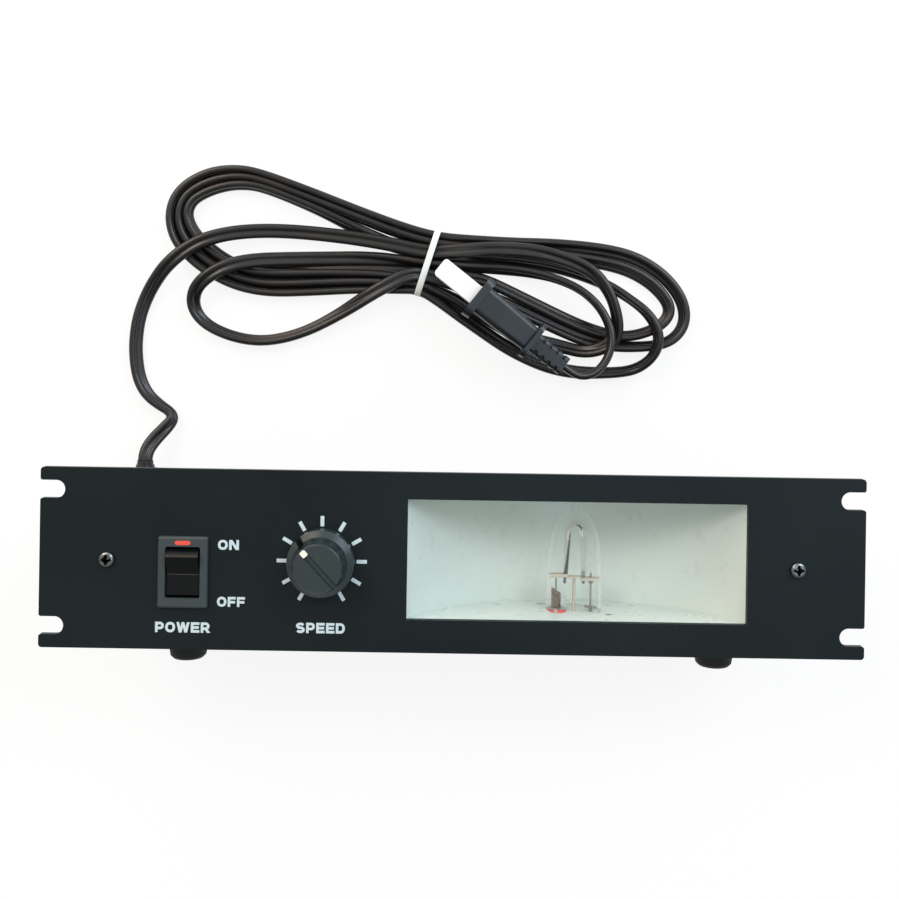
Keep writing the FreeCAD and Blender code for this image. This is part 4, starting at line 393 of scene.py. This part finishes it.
# greyish tan tube of the centre support
tan_sleeve = finish("greyish tan rod sleeve", "#ABA298", "#C4BCB0", 0.9, (0.45, 0.60),
                    relief=0.01)
# drawn nickel wire
nickel_wire = finish("drawn nickel wire", "#8F8C86", "#B7B4AC", 0.4, (0.22, 0.36),
                     relief=0.002, stretch=(1, 0.2, 1), Metallic=1.0)
# unglazed steatite spacer, sandy
tan_ceramic = finish("pale tan steatite", "#ABA596", "#C7C2B4", 1.4, (0.55, 0.75), relief=0.01)
# unglazed white ceramic
white_ceramic = finish("white steatite", "#C4CEC7", "#D6DFD9", 0.3, (0.5, 0.7), relief=0.01)
# red sealing compound, glossy where it wetted the glass
red_seal = finish("red sealing compound", "#D2383F", "#E8666A", 0.9, (0.25, 0.45),
                  relief=0.03)
# its upper face is dusty grey glass, and a clip crosses its front
colour_zone(red_seal, "#8F8A83", (48.8, -19.6, 58.5), (50.0, 0.2, 50.0))
colour_zone(red_seal, "#A9AAA3", (47.95, -20.4, 64.0), (0.95, 5.0, 5.0), soft=0.3)
# phenolic moulding of the switch and socket, grey-black with a fine moulded skin
switch_moulding = finish("grey-black switch moulding", "#262F30", "#384345", 0.35,
                         (0.42, 0.58), relief=0.012, patch=25.0)
# glossy rocker moulding
rocker_moulding = finish("polished black rocker moulding", "#080B0C", "#0F1315", 0.4,
                         (0.16, 0.26), relief=0.003, patch=12.0,
                         **{"Specular IOR Level": 0.2})
# a painted highlight along the fold between its paddles
colour_zone(rocker_moulding, "#4A4845", (-119.15, -1.34, 83.4), (40.0, 0.2, 40.0), soft=0.5)
# red paint filled into the switch's mark
red_paint = finish("red filling paint", "#D84038", "#F0604F", 0.4, (0.3, 0.5), relief=0.01)
# satin knob moulding, dark grey with a green-blue cast
knob_moulding = finish("satin grey-black knob moulding", "#1F2A2C", "#2C393B", 0.30,
                       (0.26, 0.38), relief=0.006, patch=15.0)
# cream paint in the knob's pointer
pointer_paint = finish("cream pointer paint", "#E9E8DA", "#F4F3E8", 0.3, (0.35, 0.5),
                       relief=0.01)
# silk-screened ink, chalky, with slightly uneven cover
screen_ink = finish("pale screen-printed ink", "#BDD1D7", "#CBDDE2", 0.25, (0.5, 0.65),
                    relief=0.008, patch=20.0)
# tinned brass terminals
tinned_brass = finish("tinned brass", "#A9A593", "#CFCBBA", 0.6, (0.25, 0.42),
                      relief=0.003, Metallic=1.0)
# turned aluminium shaft
turned_aluminium = finish("turned aluminium", "#A9ABAE", "#CFD1D4", 0.3, (0.2, 0.35),
                          relief=0.003, stretch=(0.1, 0.1, 1), Metallic=1.0)
# phenolic paper board with its faint fibre
board_laminate = finish("phenolic paper laminate", "#6B4A1F", "#8A6430", 1.0, (0.35, 0.5),
                        relief=0.01, stretch=(0.3, 1, 1))
# dark blue shrink sleeve
blue_sleeve = finish("blue shrink sleeve", "#141C3A", "#222E58", 0.8, (0.22, 0.4),
                     relief=0.01)
# black epoxy of small parts
black_epoxy = finish("black moulded epoxy", "#101112", "#202224", 0.3, (0.4, 0.6),
                     relief=0.008)
# red PVC of hook-up wire
red_pvc = finish("red wire covering", "#8E1A14", "#B52A22", 0.5, (0.3, 0.45), relief=0.006)
# semi-gloss PVC of the mains cord: smooth with a little dust, a brown-grey sheen
cord_pvc = finish("semi-gloss black cord covering", "#0F0F0F", "#1E1C1B", 0.8,
                  (0.28, 0.35), relief=0.003, patch=18.0, patch_shift=0.6,
                  **{"Sheen Weight": 0.04, "Sheen Roughness": 0.4,
                     "Sheen Tint": linear("#B9A79A")})
# moulded PVC of the plug, finer and more satin than the cord
plug_pvc = finish("satin black plug moulding", "#0E1417", "#192126", 0.35, (0.26, 0.4),
                  relief=0.008, patch=20.0)
# white nylon strap
white_nylon = finish("white nylon strap", "#D4DEDA", "#E5EDE9", 0.6, (0.35, 0.5),
                     relief=0.02)
# white polythene cover, slightly waxy
white_polythene = finish("white polythene", "#F4F5F5", "#FBFBFB", 0.8, (0.35, 0.5),
                         relief=0.015, **{"Subsurface Weight": 0.1})


# how sharply thin glass turns from clear to its rim, the share of light that its
# face mirrors, and the length and height in mm of the waves in its surface
RIM_POWER = 4.0
MIRROR_FACE = 0.010
WAVE_LONG, WAVE_HIGH = 7.0, 0.02


def thin_glass(name, tint, rim, body, cloud, mirror_rim):
    """Thin clear glass, seen by its rims and glints, the same from both sides.

    rim is how strongly its edges show, body the colour that its wall adds
    there, cloud the share of light that its milky body scatters and mirror_rim
    the share that its edges mirror. It casts no shadow, as glass this thin
    hardly does.
    """
    material, tree = new_material(name)
    place = add(tree, "ShaderNodeTexCoord")
    waves = add(tree, "ShaderNodeTexNoise",
                {"Vector": place.outputs["Object"], "Scale": 1 / (WAVE_LONG * MM),
                 "Detail": 1.0})
    bump = add(tree, "ShaderNodeBump",
               {"Height": waves.outputs["Fac"], "Distance": WAVE_HIGH * MM, "Strength": 0.5})
    clear = add(tree, "ShaderNodeBsdfTransparent", {"Color": linear(tint)})
    milk = add(tree, "ShaderNodeBsdfDiffuse", {"Color": linear(body)})
    gloss = add(tree, "ShaderNodeBsdfGlossy",
                {"Roughness": 0.05, "Normal": bump.outputs["Normal"]})
    facing = add(tree, "ShaderNodeLayerWeight", {"Blend": 0.5})
    steep = add(tree, "ShaderNodeMath", {0: facing.outputs["Facing"], 1: RIM_POWER},
                operation="POWER")
    edge = add(tree, "ShaderNodeMapRange",
               {"Value": steep.outputs[0], "To Min": cloud, "To Max": rim})
    inside = add(tree, "ShaderNodeMixShader",
                 {0: edge.outputs["Result"], 1: clear.outputs[0], 2: milk.outputs[0]})
    mirror = add(tree, "ShaderNodeMapRange",
                 {"Value": steep.outputs[0], "To Min": MIRROR_FACE, "To Max": mirror_rim})
    surface = add(tree, "ShaderNodeMixShader",
                  {0: mirror.outputs["Result"], 1: inside.outputs[0], 2: gloss.outputs[0]})
    rays = add(tree, "ShaderNodeLightPath")
    unseen = add(tree, "ShaderNodeMath",
                 {0: rays.outputs["Is Shadow Ray"], 1: rays.outputs["Is Diffuse Ray"]},
                 operation="MAXIMUM")
    lit_through = add(tree, "ShaderNodeBsdfTransparent", {"Color": (1, 1, 1, 1)})
    whole = add(tree, "ShaderNodeMixShader",
                {0: unseen.outputs[0], 1: surface.outputs[0], 2: lit_through.outputs[0]})
    add(tree, "ShaderNodeOutputMaterial", {"Surface": whole.outputs[0]})
    return material


# blown dome and sleeves: almost nothing but faint grey rims and window glints
lamp_glass = thin_glass("clear blown lamp glass", "#FFFFFF", 0.42, "#FFFFFF", 0.0, 0.10)
# the flash tube's wall, a little milky
quartz = thin_glass("milky fused quartz", "#F8F8F6", 0.45, "#DADAD2", 0.10, 0.14)
# grey stripe of painted shade on the flash tube, round its arch and down one leg
shade_stripe_paint = finish("grey painted shade on tube", "#434948", "#585E5C", 0.5, (0.4, 0.55), relief=0.004)

NODE_FINISH = {
    "front_panel": panel_enamel, "chassis": housing_enamel, "bottom_cover": housing_enamel,
    "panel_screws": plate_with_painted_recess_shade, "cover_screws": zinc_plate, "rubber_feet": foot_rubber,
    "foot_screws": zinc_plate, "foot_nuts": zinc_plate, "reflector_back": white_enamel,
    "reflector_floor": white_enamel, "reflector_roof": white_enamel,
    "reflector_screws": zinc_plate, "lamp_envelope": lamp_glass, "flash_tube": quartz,
    "lamp_electrodes": dark_metal, "lamp_spacer": tan_ceramic,
    "lamp_support_rod": tan_sleeve, "lamp_lead_wires": nickel_wire,
    "lamp_star_washer": nickel_wire, "lamp_seal_sleeves": lamp_glass,
    "lamp_seal_ring": red_seal, "lamp_getter_foil": scorched_foil, "lamp_base": white_ceramic,
    "lamp_pins": nickel_wire, "lamp_socket": white_ceramic, "socket_screws": zinc_plate,
    "switch_body": switch_moulding, "switch_rocker": rocker_moulding,
    "switch_mark": red_paint, "switch_terminals": tinned_brass, "speed_knob": knob_moulding,
    "knob_pointer": pointer_paint, "knob_set_screw": zinc_plate,
    "pot_shaft": turned_aluminium, "pot_body": zinc_plate, "pot_bushing": tinned_brass,
    "pot_washer": zinc_plate, "pot_nut": tinned_brass, "pot_terminals": tinned_brass,
    "circuit_board": board_laminate, "board_standoffs": tinned_brass,
    "board_screws": zinc_plate, "discharge_capacitors": blue_sleeve,
    "trigger_coil": blue_sleeve, "power_resistor": white_ceramic, "thyristor": black_epoxy,
    "diodes": black_epoxy, "timing_capacitor": tan_ceramic, "fuse": lamp_glass,
    "fuse_clips": tinned_brass, "switch_wires": red_pvc, "lamp_wires": red_pvc,
    "cord_bushing": cord_pvc, "mains_cord_run": cord_pvc, "cord_hank": cord_pvc,
    "plug_cord_tail": cord_pvc, "cord_tie": white_nylon, "plug_body": plug_pvc,
    "plug_blades": bright_plate, "blade_cover": white_polythene,
}
for node_name, material in NODE_FINISH.items():
    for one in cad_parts[node_name].material_slots:
        one.material = material

make_cord(cord_pvc)


# ------------------------------------------------------------------ tie strap

TIE_MIDDLE = (-15.0, 142.6)
TIE_TURN = math.radians(72.9)
# half its length over the hank and half its height, each with a power that is
# smaller the squarer the loop, and how much it bows up on top
TIE_LONG, TIE_LONG_POWER = 17.6, 0.45
TIE_HIGH, TIE_HIGH_POWER = 4.9, 0.62
TIE_BOW = 0.5
# the strap's width, thickness and edge round, and its gap to the floor
TIE_WIDE = 3.2
TIE_THICK = 0.75
TIE_ROUND = 0.22
TIE_LIFT = 0.05


def make_tie():
    """White strap round the waist of the hank, flat below and bowed a little on top."""
    bm = bmesh.new()
    bmesh.ops.create_circle(bm, segments=64, radius=1.0)
    for vert in bm.verts:
        along, up = vert.co.x, vert.co.y
        vert.co.x = 0.0
        vert.co.y = TIE_LONG * math.copysign(abs(along) ** TIE_LONG_POWER, along)
        vert.co.z = (TIE_HIGH * math.copysign(abs(up) ** TIE_HIGH_POWER, up)
                     + TIE_BOW * max(up, 0.0))
    rim = bmesh.ops.extrude_edge_only(bm, edges=bm.edges[:])
    moved = [v for v in rim["geom"] if isinstance(v, bmesh.types.BMVert)]
    bmesh.ops.translate(bm, verts=moved, vec=(TIE_WIDE, 0.0, 0.0))
    bmesh.ops.translate(bm, verts=bm.verts[:], vec=(-TIE_WIDE / 2, 0.0, 0.0))
    bmesh.ops.recalc_face_normals(bm, faces=bm.faces[:])
    bmesh.ops.solidify(bm, geom=bm.faces[:], thickness=TIE_THICK)
    sharp = [e for e in bm.edges if e.calc_face_angle(0.0) > 1.0]
    bmesh.ops.bevel(bm, geom=sharp, offset=TIE_ROUND, segments=2, affect="EDGES", profile=0.5,
                    material=-1)
    turn = Matrix.Rotation(TIE_TURN - math.pi / 2, 4, "Z")
    shift = Matrix.Translation((*TIE_MIDDLE, TIE_HIGH + TIE_LIFT))
    bm.transform(Matrix.Scale(MM, 4) @ shift @ turn)
    tie = piece("tie_strap", bm, white_nylon)
    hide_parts("cord_tie")


make_tie()


# ------------------------------------------------------------------ plug and lamp

# the middle of the plug's face, and the way from it to the cord
PLUG_FACE = (9.6, 126.0, 22.0)
PLUG_TURN = math.radians(-38.0)
# each end of the relief's middle: how far behind the plug's face, and its half
# width and half height there
WEB_ENDS = ((39.4, 4.75, 1.9), (55.7, 4.35, 1.7))
WEB_ROUND = 0.6


def make_relief_web():
    """The solid middle of the plug's slotted relief, tapered towards the cord."""
    bm = bmesh.new()
    corners = ((1, 1), (-1, 1), (-1, -1), (1, -1))
    rings = [[bm.verts.new((behind, across * side, up * level)) for side, level in corners]
             for behind, across, up in WEB_ENDS]
    bm.faces.new(rings[0])
    bm.faces.new(rings[1][::-1])
    for i in range(4):
        after = (i + 1) % 4
        bm.faces.new((rings[0][i], rings[1][i], rings[1][after], rings[0][after]))
    bmesh.ops.recalc_face_normals(bm, faces=bm.faces[:])
    bmesh.ops.bevel(bm, geom=bm.edges[:], offset=WEB_ROUND, segments=3, affect="EDGES",
                    profile=0.5, material=-1)
    bm.transform(Matrix.Scale(MM, 4) @ Matrix.Translation(PLUG_FACE)
                 @ Matrix.Rotation(PLUG_TURN, 4, "Z"))
    piece("relief_web", bm, plug_pvc)


make_relief_web()

LAMP_MIDDLE = (56.6, -25.1, 58.5)
# the U tube, measured from the lamp's middle: its own radius, its arch, and its
# left leg, which leans out towards its foot
TUBE_R = 1.25
ARCH_R = 3.55
ARCH_MIDDLE = (0.6, 41.4)
LEG_LEAN = math.radians(3.2)
LEG_FOOT = 19.6
# the stripe on it: its gap and thickness, its span round the arch, and where it
# faces and half its width, in degrees round the tube, from its first to its last
# step
STRIPE_STEPS = 14
STRIPE_GAP = 0.03
STRIPE_THICK = 0.02
STRIPE_SPAN = (8.0, 96.0)
LEG_FACES, LEG_WIDTH = (40.0, 88.0), (17.0, 44.0)
ARCH_FACES, ARCH_WIDTH, ARCH_LEAST = 34.0, 34.0, 3.0


def between(ends, share):
    """The value at a share of the way from one end to the other."""
    return ends[0] + (ends[1] - ends[0]) * share


def stripe_spines():
    """The stripe down the leg and round the arch: place, outward way, facing and width."""
    turn = (ARCH_MIDDLE[0] - ARCH_R * math.cos(LEG_LEAN),
            ARCH_MIDDLE[1] + ARCH_R * math.sin(LEG_LEAN))
    leg, arch = [], []
    for step in range(STRIPE_STEPS + 1):
        share = step / STRIPE_STEPS
        high = between((turn[1], LEG_FOOT), share)
        leg.append((turn[0] - (turn[1] - high) * math.tan(LEG_LEAN), high, (1.0, 0.0),
                    between(LEG_FACES, share), between(LEG_WIDTH, share)))
        angle = math.radians(between(STRIPE_SPAN, share))
        taper = math.sin(math.pi * between((0.1, 1.0), share))
        arch.append((ARCH_MIDDLE[0] + ARCH_R * math.cos(angle),
                     ARCH_MIDDLE[1] + ARCH_R * math.sin(angle),
                     (-math.cos(angle), -math.sin(angle)),
                     ARCH_FACES, ARCH_WIDTH * taper + ARCH_LEAST))
    return leg, arch


def make_shade_stripe():
    """Grey stripe of painted shade, round the arch and down one leg of the tube."""
    bm = bmesh.new()
    radius = TUBE_R + STRIPE_GAP
    for spine in stripe_spines():
        rows = []
        for x, y, out, faces, wide in spine:
            row = []
            for column in range(-3, 4):
                angle = math.radians(faces + wide * column / 3)
                row.append(bm.verts.new((
                    LAMP_MIDDLE[0] + x + radius * math.cos(angle) * out[0],
                    LAMP_MIDDLE[1] + y + radius * math.cos(angle) * out[1],
                    LAMP_MIDDLE[2] + radius * math.sin(angle))))
            rows.append(row)
        for above, below in zip(rows, rows[1:]):
            for i in range(len(above) - 1):
                bm.faces.new((above[i], below[i], below[i + 1], above[i + 1]))
    bmesh.ops.recalc_face_normals(bm, faces=bm.faces[:])
    bmesh.ops.solidify(bm, geom=bm.faces[:], thickness=STRIPE_THICK)
    bm.transform(Matrix.Scale(MM, 4))
    piece("painted_tube_shade", bm, shade_stripe_paint)


make_shade_stripe()


# ------------------------------------------------------------------ panel printing

# the marks round the knob: how many on each side of the top one, their spacing in
# degrees, and a mark's width, length, corners and distance from the knob's middle
MARKS_ASIDE = 5
MARK_STEP = 30.0
MARK_WIDE = 1.65
MARK_LONG = 4.6
MARK_ROUND = 0.25
MARK_RING = 17.7


def make_dial_marks():
    """Eleven marks round the speed knob, 30 degrees apart, as printed bars."""
    bm = bmesh.new()
    for step in range(-MARKS_ASIDE, MARKS_ASIDE + 1):
        angle = math.radians(-MARK_STEP * step)
        bar = bmesh.ops.create_cube(bm, size=1.0)["verts"]
        bmesh.ops.scale(bm, verts=bar, vec=(MARK_WIDE, MARK_LONG, INK_THICK))
        bmesh.ops.translate(bm, verts=bar, vec=(0.0, MARK_RING, INK_THICK / 2))
        bmesh.ops.rotate(bm, verts=bar, cent=(0, 0, 0), matrix=Matrix.Rotation(angle, 3, "Z"))
    upright = [e for e in bm.edges
               if abs(e.verts[0].co.z - e.verts[1].co.z) > INK_THICK / 2]
    bmesh.ops.bevel(bm, geom=upright, offset=MARK_ROUND, segments=3, affect="EDGES",
                    profile=0.5, material=-1)
    bmesh.ops.translate(bm, verts=bm.verts[:], vec=(*KNOB, PANEL_FRONT))
    bm.transform(Matrix.Scale(MM, 4))
    piece("dial_marks", bm, screen_ink, smooth=False)


make_dial_marks()


def bend(middle, reach, start, end, power=2.0, steps=12):
    """Points along a part of a rounded oblong, from one angle to another in degrees."""
    points = []
    for step in range(steps + 1):
        angle = math.radians(start + (end - start) * step / steps)
        across, up = math.cos(angle), math.sin(angle)
        points.append((middle[0] + reach[0] * math.copysign(abs(across) ** (2 / power), across),
                       middle[1] + reach[1] * math.copysign(abs(up) ** (2 / power), up)))
    return points


# Heavy grotesque capitals, in cap heights: how wide a stroke is, the gap between
# letters, and each letter's width with the middle lines of its strokes.
STROKE_WIDE = 0.25
LETTER_GAP = 0.13
STEM = [(0.125, 0.0), (0.125, 1.0)]
P_BOWL = [(0.2, 0.875)] + bend((0.47, 0.64), (0.245, 0.235), 90, -90) + [(0.2, 0.405)]
LETTERS = {
    "D": (0.88, [STEM, [(0.2, 0.875)] + bend((0.42, 0.5), (0.335, 0.375), 90, -90, 2.3)
                 + [(0.2, 0.125)]]),
    "E": (0.82, [STEM, [(0.2, 0.875), (0.82, 0.875)], [(0.2, 0.5), (0.77, 0.5)],
                 [(0.2, 0.125), (0.82, 0.125)]]),
    "F": (0.80, [STEM, [(0.2, 0.875), (0.80, 0.875)], [(0.2, 0.47), (0.74, 0.47)]]),
    "N": (0.95, [STEM, [(0.825, 0.0), (0.825, 1.0)], [(0.17, 1.0), (0.78, 0.0)]]),
    "O": (0.95, [bend((0.475, 0.5), (0.35, 0.375), 0, 360, 2.3, 36)]),
    "P": (0.84, [STEM, P_BOWL]),
    "R": (0.92, [STEM, P_BOWL, [(0.44, 0.42), (0.76, 0.0)]]),
    "S": (0.86, [bend((0.43, 0.69), (0.305, 0.185), 22, 270)
                 + bend((0.43, 0.31), (0.305, 0.195), 90, -158)[1:]]),
    "W": (1.25, [[(0.12, 1.0), (0.36, 0.0)], [(0.36, 0.0), (0.625, 1.0)],
                 [(0.625, 1.0), (0.89, 0.0)], [(0.89, 0.0), (1.13, 1.0)]]),
}


def stroke_sides(points, half):
    """Left and right edge of a stroke, straight ones cut level with the line."""
    if len(points) == 2:
        (x0, y0), (x1, y1) = points
        if y0 == y1:
            offset = (0.0, half)
        else:
            offset = (half * math.dist(*points) / abs(y1 - y0), 0.0)
        offsets = [offset, offset]
    else:
        closed = math.dist(points[0], points[-1]) < 1e-6
        offsets = []
        for i in range(len(points)):
            before = points[i - 1] if i else points[-2 if closed else 0]
            after = points[i + 1] if i + 1 < len(points) else points[1 if closed else -1]
            way = math.dist(before, after)
            offsets.append((half * (before[1] - after[1]) / way,
                            half * (after[0] - before[0]) / way))
    return [[(x + side * dx, y + side * dy) for (x, y), (dx, dy) in zip(points, offsets)]
            for side in (1, -1)]


# each stroke lies this much lower than the last, so no two tops share a plane
STROKE_DROP = 0.004


def make_word(name, word, middle, size):
    """A printed word as thin raised ink, set to a middle, width and height in mm."""
    bm = bmesh.new()
    total = sum(LETTERS[letter][0] for letter in word) + LETTER_GAP * (len(word) - 1)
    start = 0.0
    for letter in word:
        width, strokes = LETTERS[letter]
        for order, points in enumerate(strokes):
            left, right = stroke_sides(points, STROKE_WIDE / 2)
            rails = [[bm.verts.new(((start + x) / total - 0.5, y - 0.5, 0.0)) for x, y in rail]
                     for rail in (left, right)]
            faces = [bm.faces.new((rails[0][i], rails[0][i + 1], rails[1][i + 1], rails[1][i]))
                     for i in range(len(points) - 1)]
            made = bmesh.ops.extrude_face_region(bm, geom=faces)
            lifted = [v for v in made["geom"] if isinstance(v, bmesh.types.BMVert)]
            bmesh.ops.translate(bm, verts=lifted,
                                vec=(0.0, 0.0, INK_THICK - STROKE_DROP * order))
        start += width + LETTER_GAP
    bmesh.ops.scale(bm, verts=bm.verts[:], vec=(size[0], size[1], 1.0))
    bmesh.ops.translate(bm, verts=bm.verts[:], vec=(*middle, PANEL_FRONT))
    bmesh.ops.recalc_face_normals(bm, faces=bm.faces[:])
    bm.transform(Matrix.Scale(MM, 4))
    piece(name, bm, screen_ink, smooth=False)


make_word("label_on", "ON", (-99.3, 11.9), (9.3, 4.4))
make_word("label_off", "OFF", (-97.8, -13.3), (12.4, 4.4))
make_word("label_power", "POWER", (-119.0, -24.9), (24.5, 4.6))
make_word("label_speed", "SPEED", (-58.0, -24.3), (21.7, 4.6))


# ------------------------------------------------------------------ floor, light

# half the floor's width and how far below the object it lies, in metres, and the
# share and strength of the glow that whitens it where it is seen
FLOOR_HALF = 3.0
FLOOR_DROP = 0.0002
GLOW_SHARE, GLOW = 0.85, 1.02


def make_floor():
    """A plain pale floor, white to the eye, that keeps a soft shadow."""
    bm = bmesh.new()
    bmesh.ops.create_grid(bm, x_segments=1, y_segments=1, size=FLOOR_HALF)
    bmesh.ops.translate(bm, verts=bm.verts[:], vec=(0, 0, -FLOOR_DROP))
    mesh = bpy.data.meshes.new("floor")
    bm.to_mesh(mesh)
    bm.free()
    material, tree = new_material("white paper sweep")
    rays = add(tree, "ShaderNodeLightPath")
    seen = add(tree, "ShaderNodeMath",
               {0: rays.outputs["Is Camera Ray"], 1: rays.outputs["Is Glossy Ray"]},
               operation="MAXIMUM")
    seen_all = add(tree, "ShaderNodeMath",
                   {0: seen.outputs[0], 1: rays.outputs["Is Transmission Ray"]},
                   operation="MAXIMUM")
    share = add(tree, "ShaderNodeMath", {0: seen_all.outputs[0], 1: GLOW_SHARE},
                operation="MULTIPLY")
    matt = add(tree, "ShaderNodeBsdfDiffuse", {"Color": (0.9, 0.9, 0.9, 1.0)})
    white = add(tree, "ShaderNodeEmission", {"Color": (1, 1, 1, 1), "Strength": GLOW})
    both = add(tree, "ShaderNodeMixShader",
               {0: share.outputs[0], 1: matt.outputs[0], 2: white.outputs[0]})
    add(tree, "ShaderNodeOutputMaterial", {"Surface": both.outputs[0]})
    mesh.materials.append(material)
    link(bpy.data.objects.new("floor", mesh))


# name, colour, power in watts, place and size in metres, and whether it lights
# matt surfaces: the one overhead only gives the dark enamel its bluish sheen
WINDOWS = [
    ("warm_window", "#FFF1E4", 8.5, (-0.85, 0.80, 1.20), (0.7, 0.5), True),
    ("cool_window", "#EAF4FF", 8.5, (0.85, 0.80, 1.20), (0.7, 0.5), True),
    ("warm_low_window", "#FFE2CC", 6.0, (-0.75, 1.25, 0.60), (1.0, 0.5), True),
    ("cool_low_window", "#D8E9FF", 6.0, (1.15, 1.00, 0.60), (1.0, 0.5), True),
    ("sky_window", "#D2E6FF", 1.5, (0.34, 0.02, 1.30), (0.60, 0.45), False),
]
# the point that they face, in metres
LIT_POINT = (0.0, 0.05, 0.05)


def make_lights():
    """Broad soft windows beyond the panel's top edge, warm at left and cool at right."""
    for name, colour, power, place, size, lights_matt in WINDOWS:
        data = bpy.data.lights.new(name, "AREA")
        data.shape = "RECTANGLE"
        data.size, data.size_y = size
        data.energy = power
        data.color = linear(colour)[:3]
        lamp = link(bpy.data.objects.new(name, data))
        lamp.location = place
        lamp.visible_diffuse = lights_matt
        aim = Vector(LIT_POINT) - lamp.location
        lamp.rotation_euler = aim.to_track_quat("-Z", "Y").to_euler()


# how bright the room is from the viewer's side to the far side, its tones at the
# left and right, and how far round these reach
ROOM_LEVEL = (0.36, 0.96)
ROOM_TONES = ((1.0, 0.94, 0.89, 1.0), (0.90, 0.97, 1.0, 1.0))
ROOM_SPAN = {"From Min": -0.8, "From Max": 0.8}


def make_world():
    """An even pale room, white to the eye behind the object."""
    world = bpy.data.worlds.new("room")
    world.use_nodes = True
    tree = world.node_tree
    tree.nodes.clear()
    rays = add(tree, "ShaderNodeLightPath")
    way = add(tree, "ShaderNodeTexCoord")
    axes = add(tree, "ShaderNodeSeparateXYZ", {"Vector": way.outputs["Generated"]})
    level = add(tree, "ShaderNodeMapRange",
                {"Value": axes.outputs["Y"], "To Min": ROOM_LEVEL[0], "To Max": ROOM_LEVEL[1],
                 **ROOM_SPAN})
    across = add(tree, "ShaderNodeMapRange", {"Value": axes.outputs["X"], **ROOM_SPAN})
    tone = add(tree, "ShaderNodeMix", {"Factor": across.outputs["Result"]}, data_type="RGBA")
    tone.inputs["A"].default_value, tone.inputs["B"].default_value = ROOM_TONES
    room = add(tree, "ShaderNodeBackground",
               {"Color": tone.outputs[2], "Strength": level.outputs["Result"]})
    white = add(tree, "ShaderNodeBackground", {"Color": (1, 1, 1, 1), "Strength": 1.0})
    seen = add(tree, "ShaderNodeMath",
               {0: rays.outputs["Is Camera Ray"], 1: rays.outputs["Is Transmission Ray"]},
               operation="MAXIMUM")
    both = add(tree, "ShaderNodeMixShader",
               {0: seen.outputs[0], 1: room.outputs[0], 2: white.outputs[0]})
    add(tree, "ShaderNodeOutputWorld", {"Surface": both.outputs[0]})
    bpy.context.scene.world = world


make_floor()
make_lights()
make_world()
bpy.context.scene.view_settings.view_transform = "Standard"
# light passes all walls of the dome, tube and sleeves, in and out again
CLEAR_WALLS = 32
bpy.context.scene.cycles.transparent_max_bounces = CLEAR_WALLS
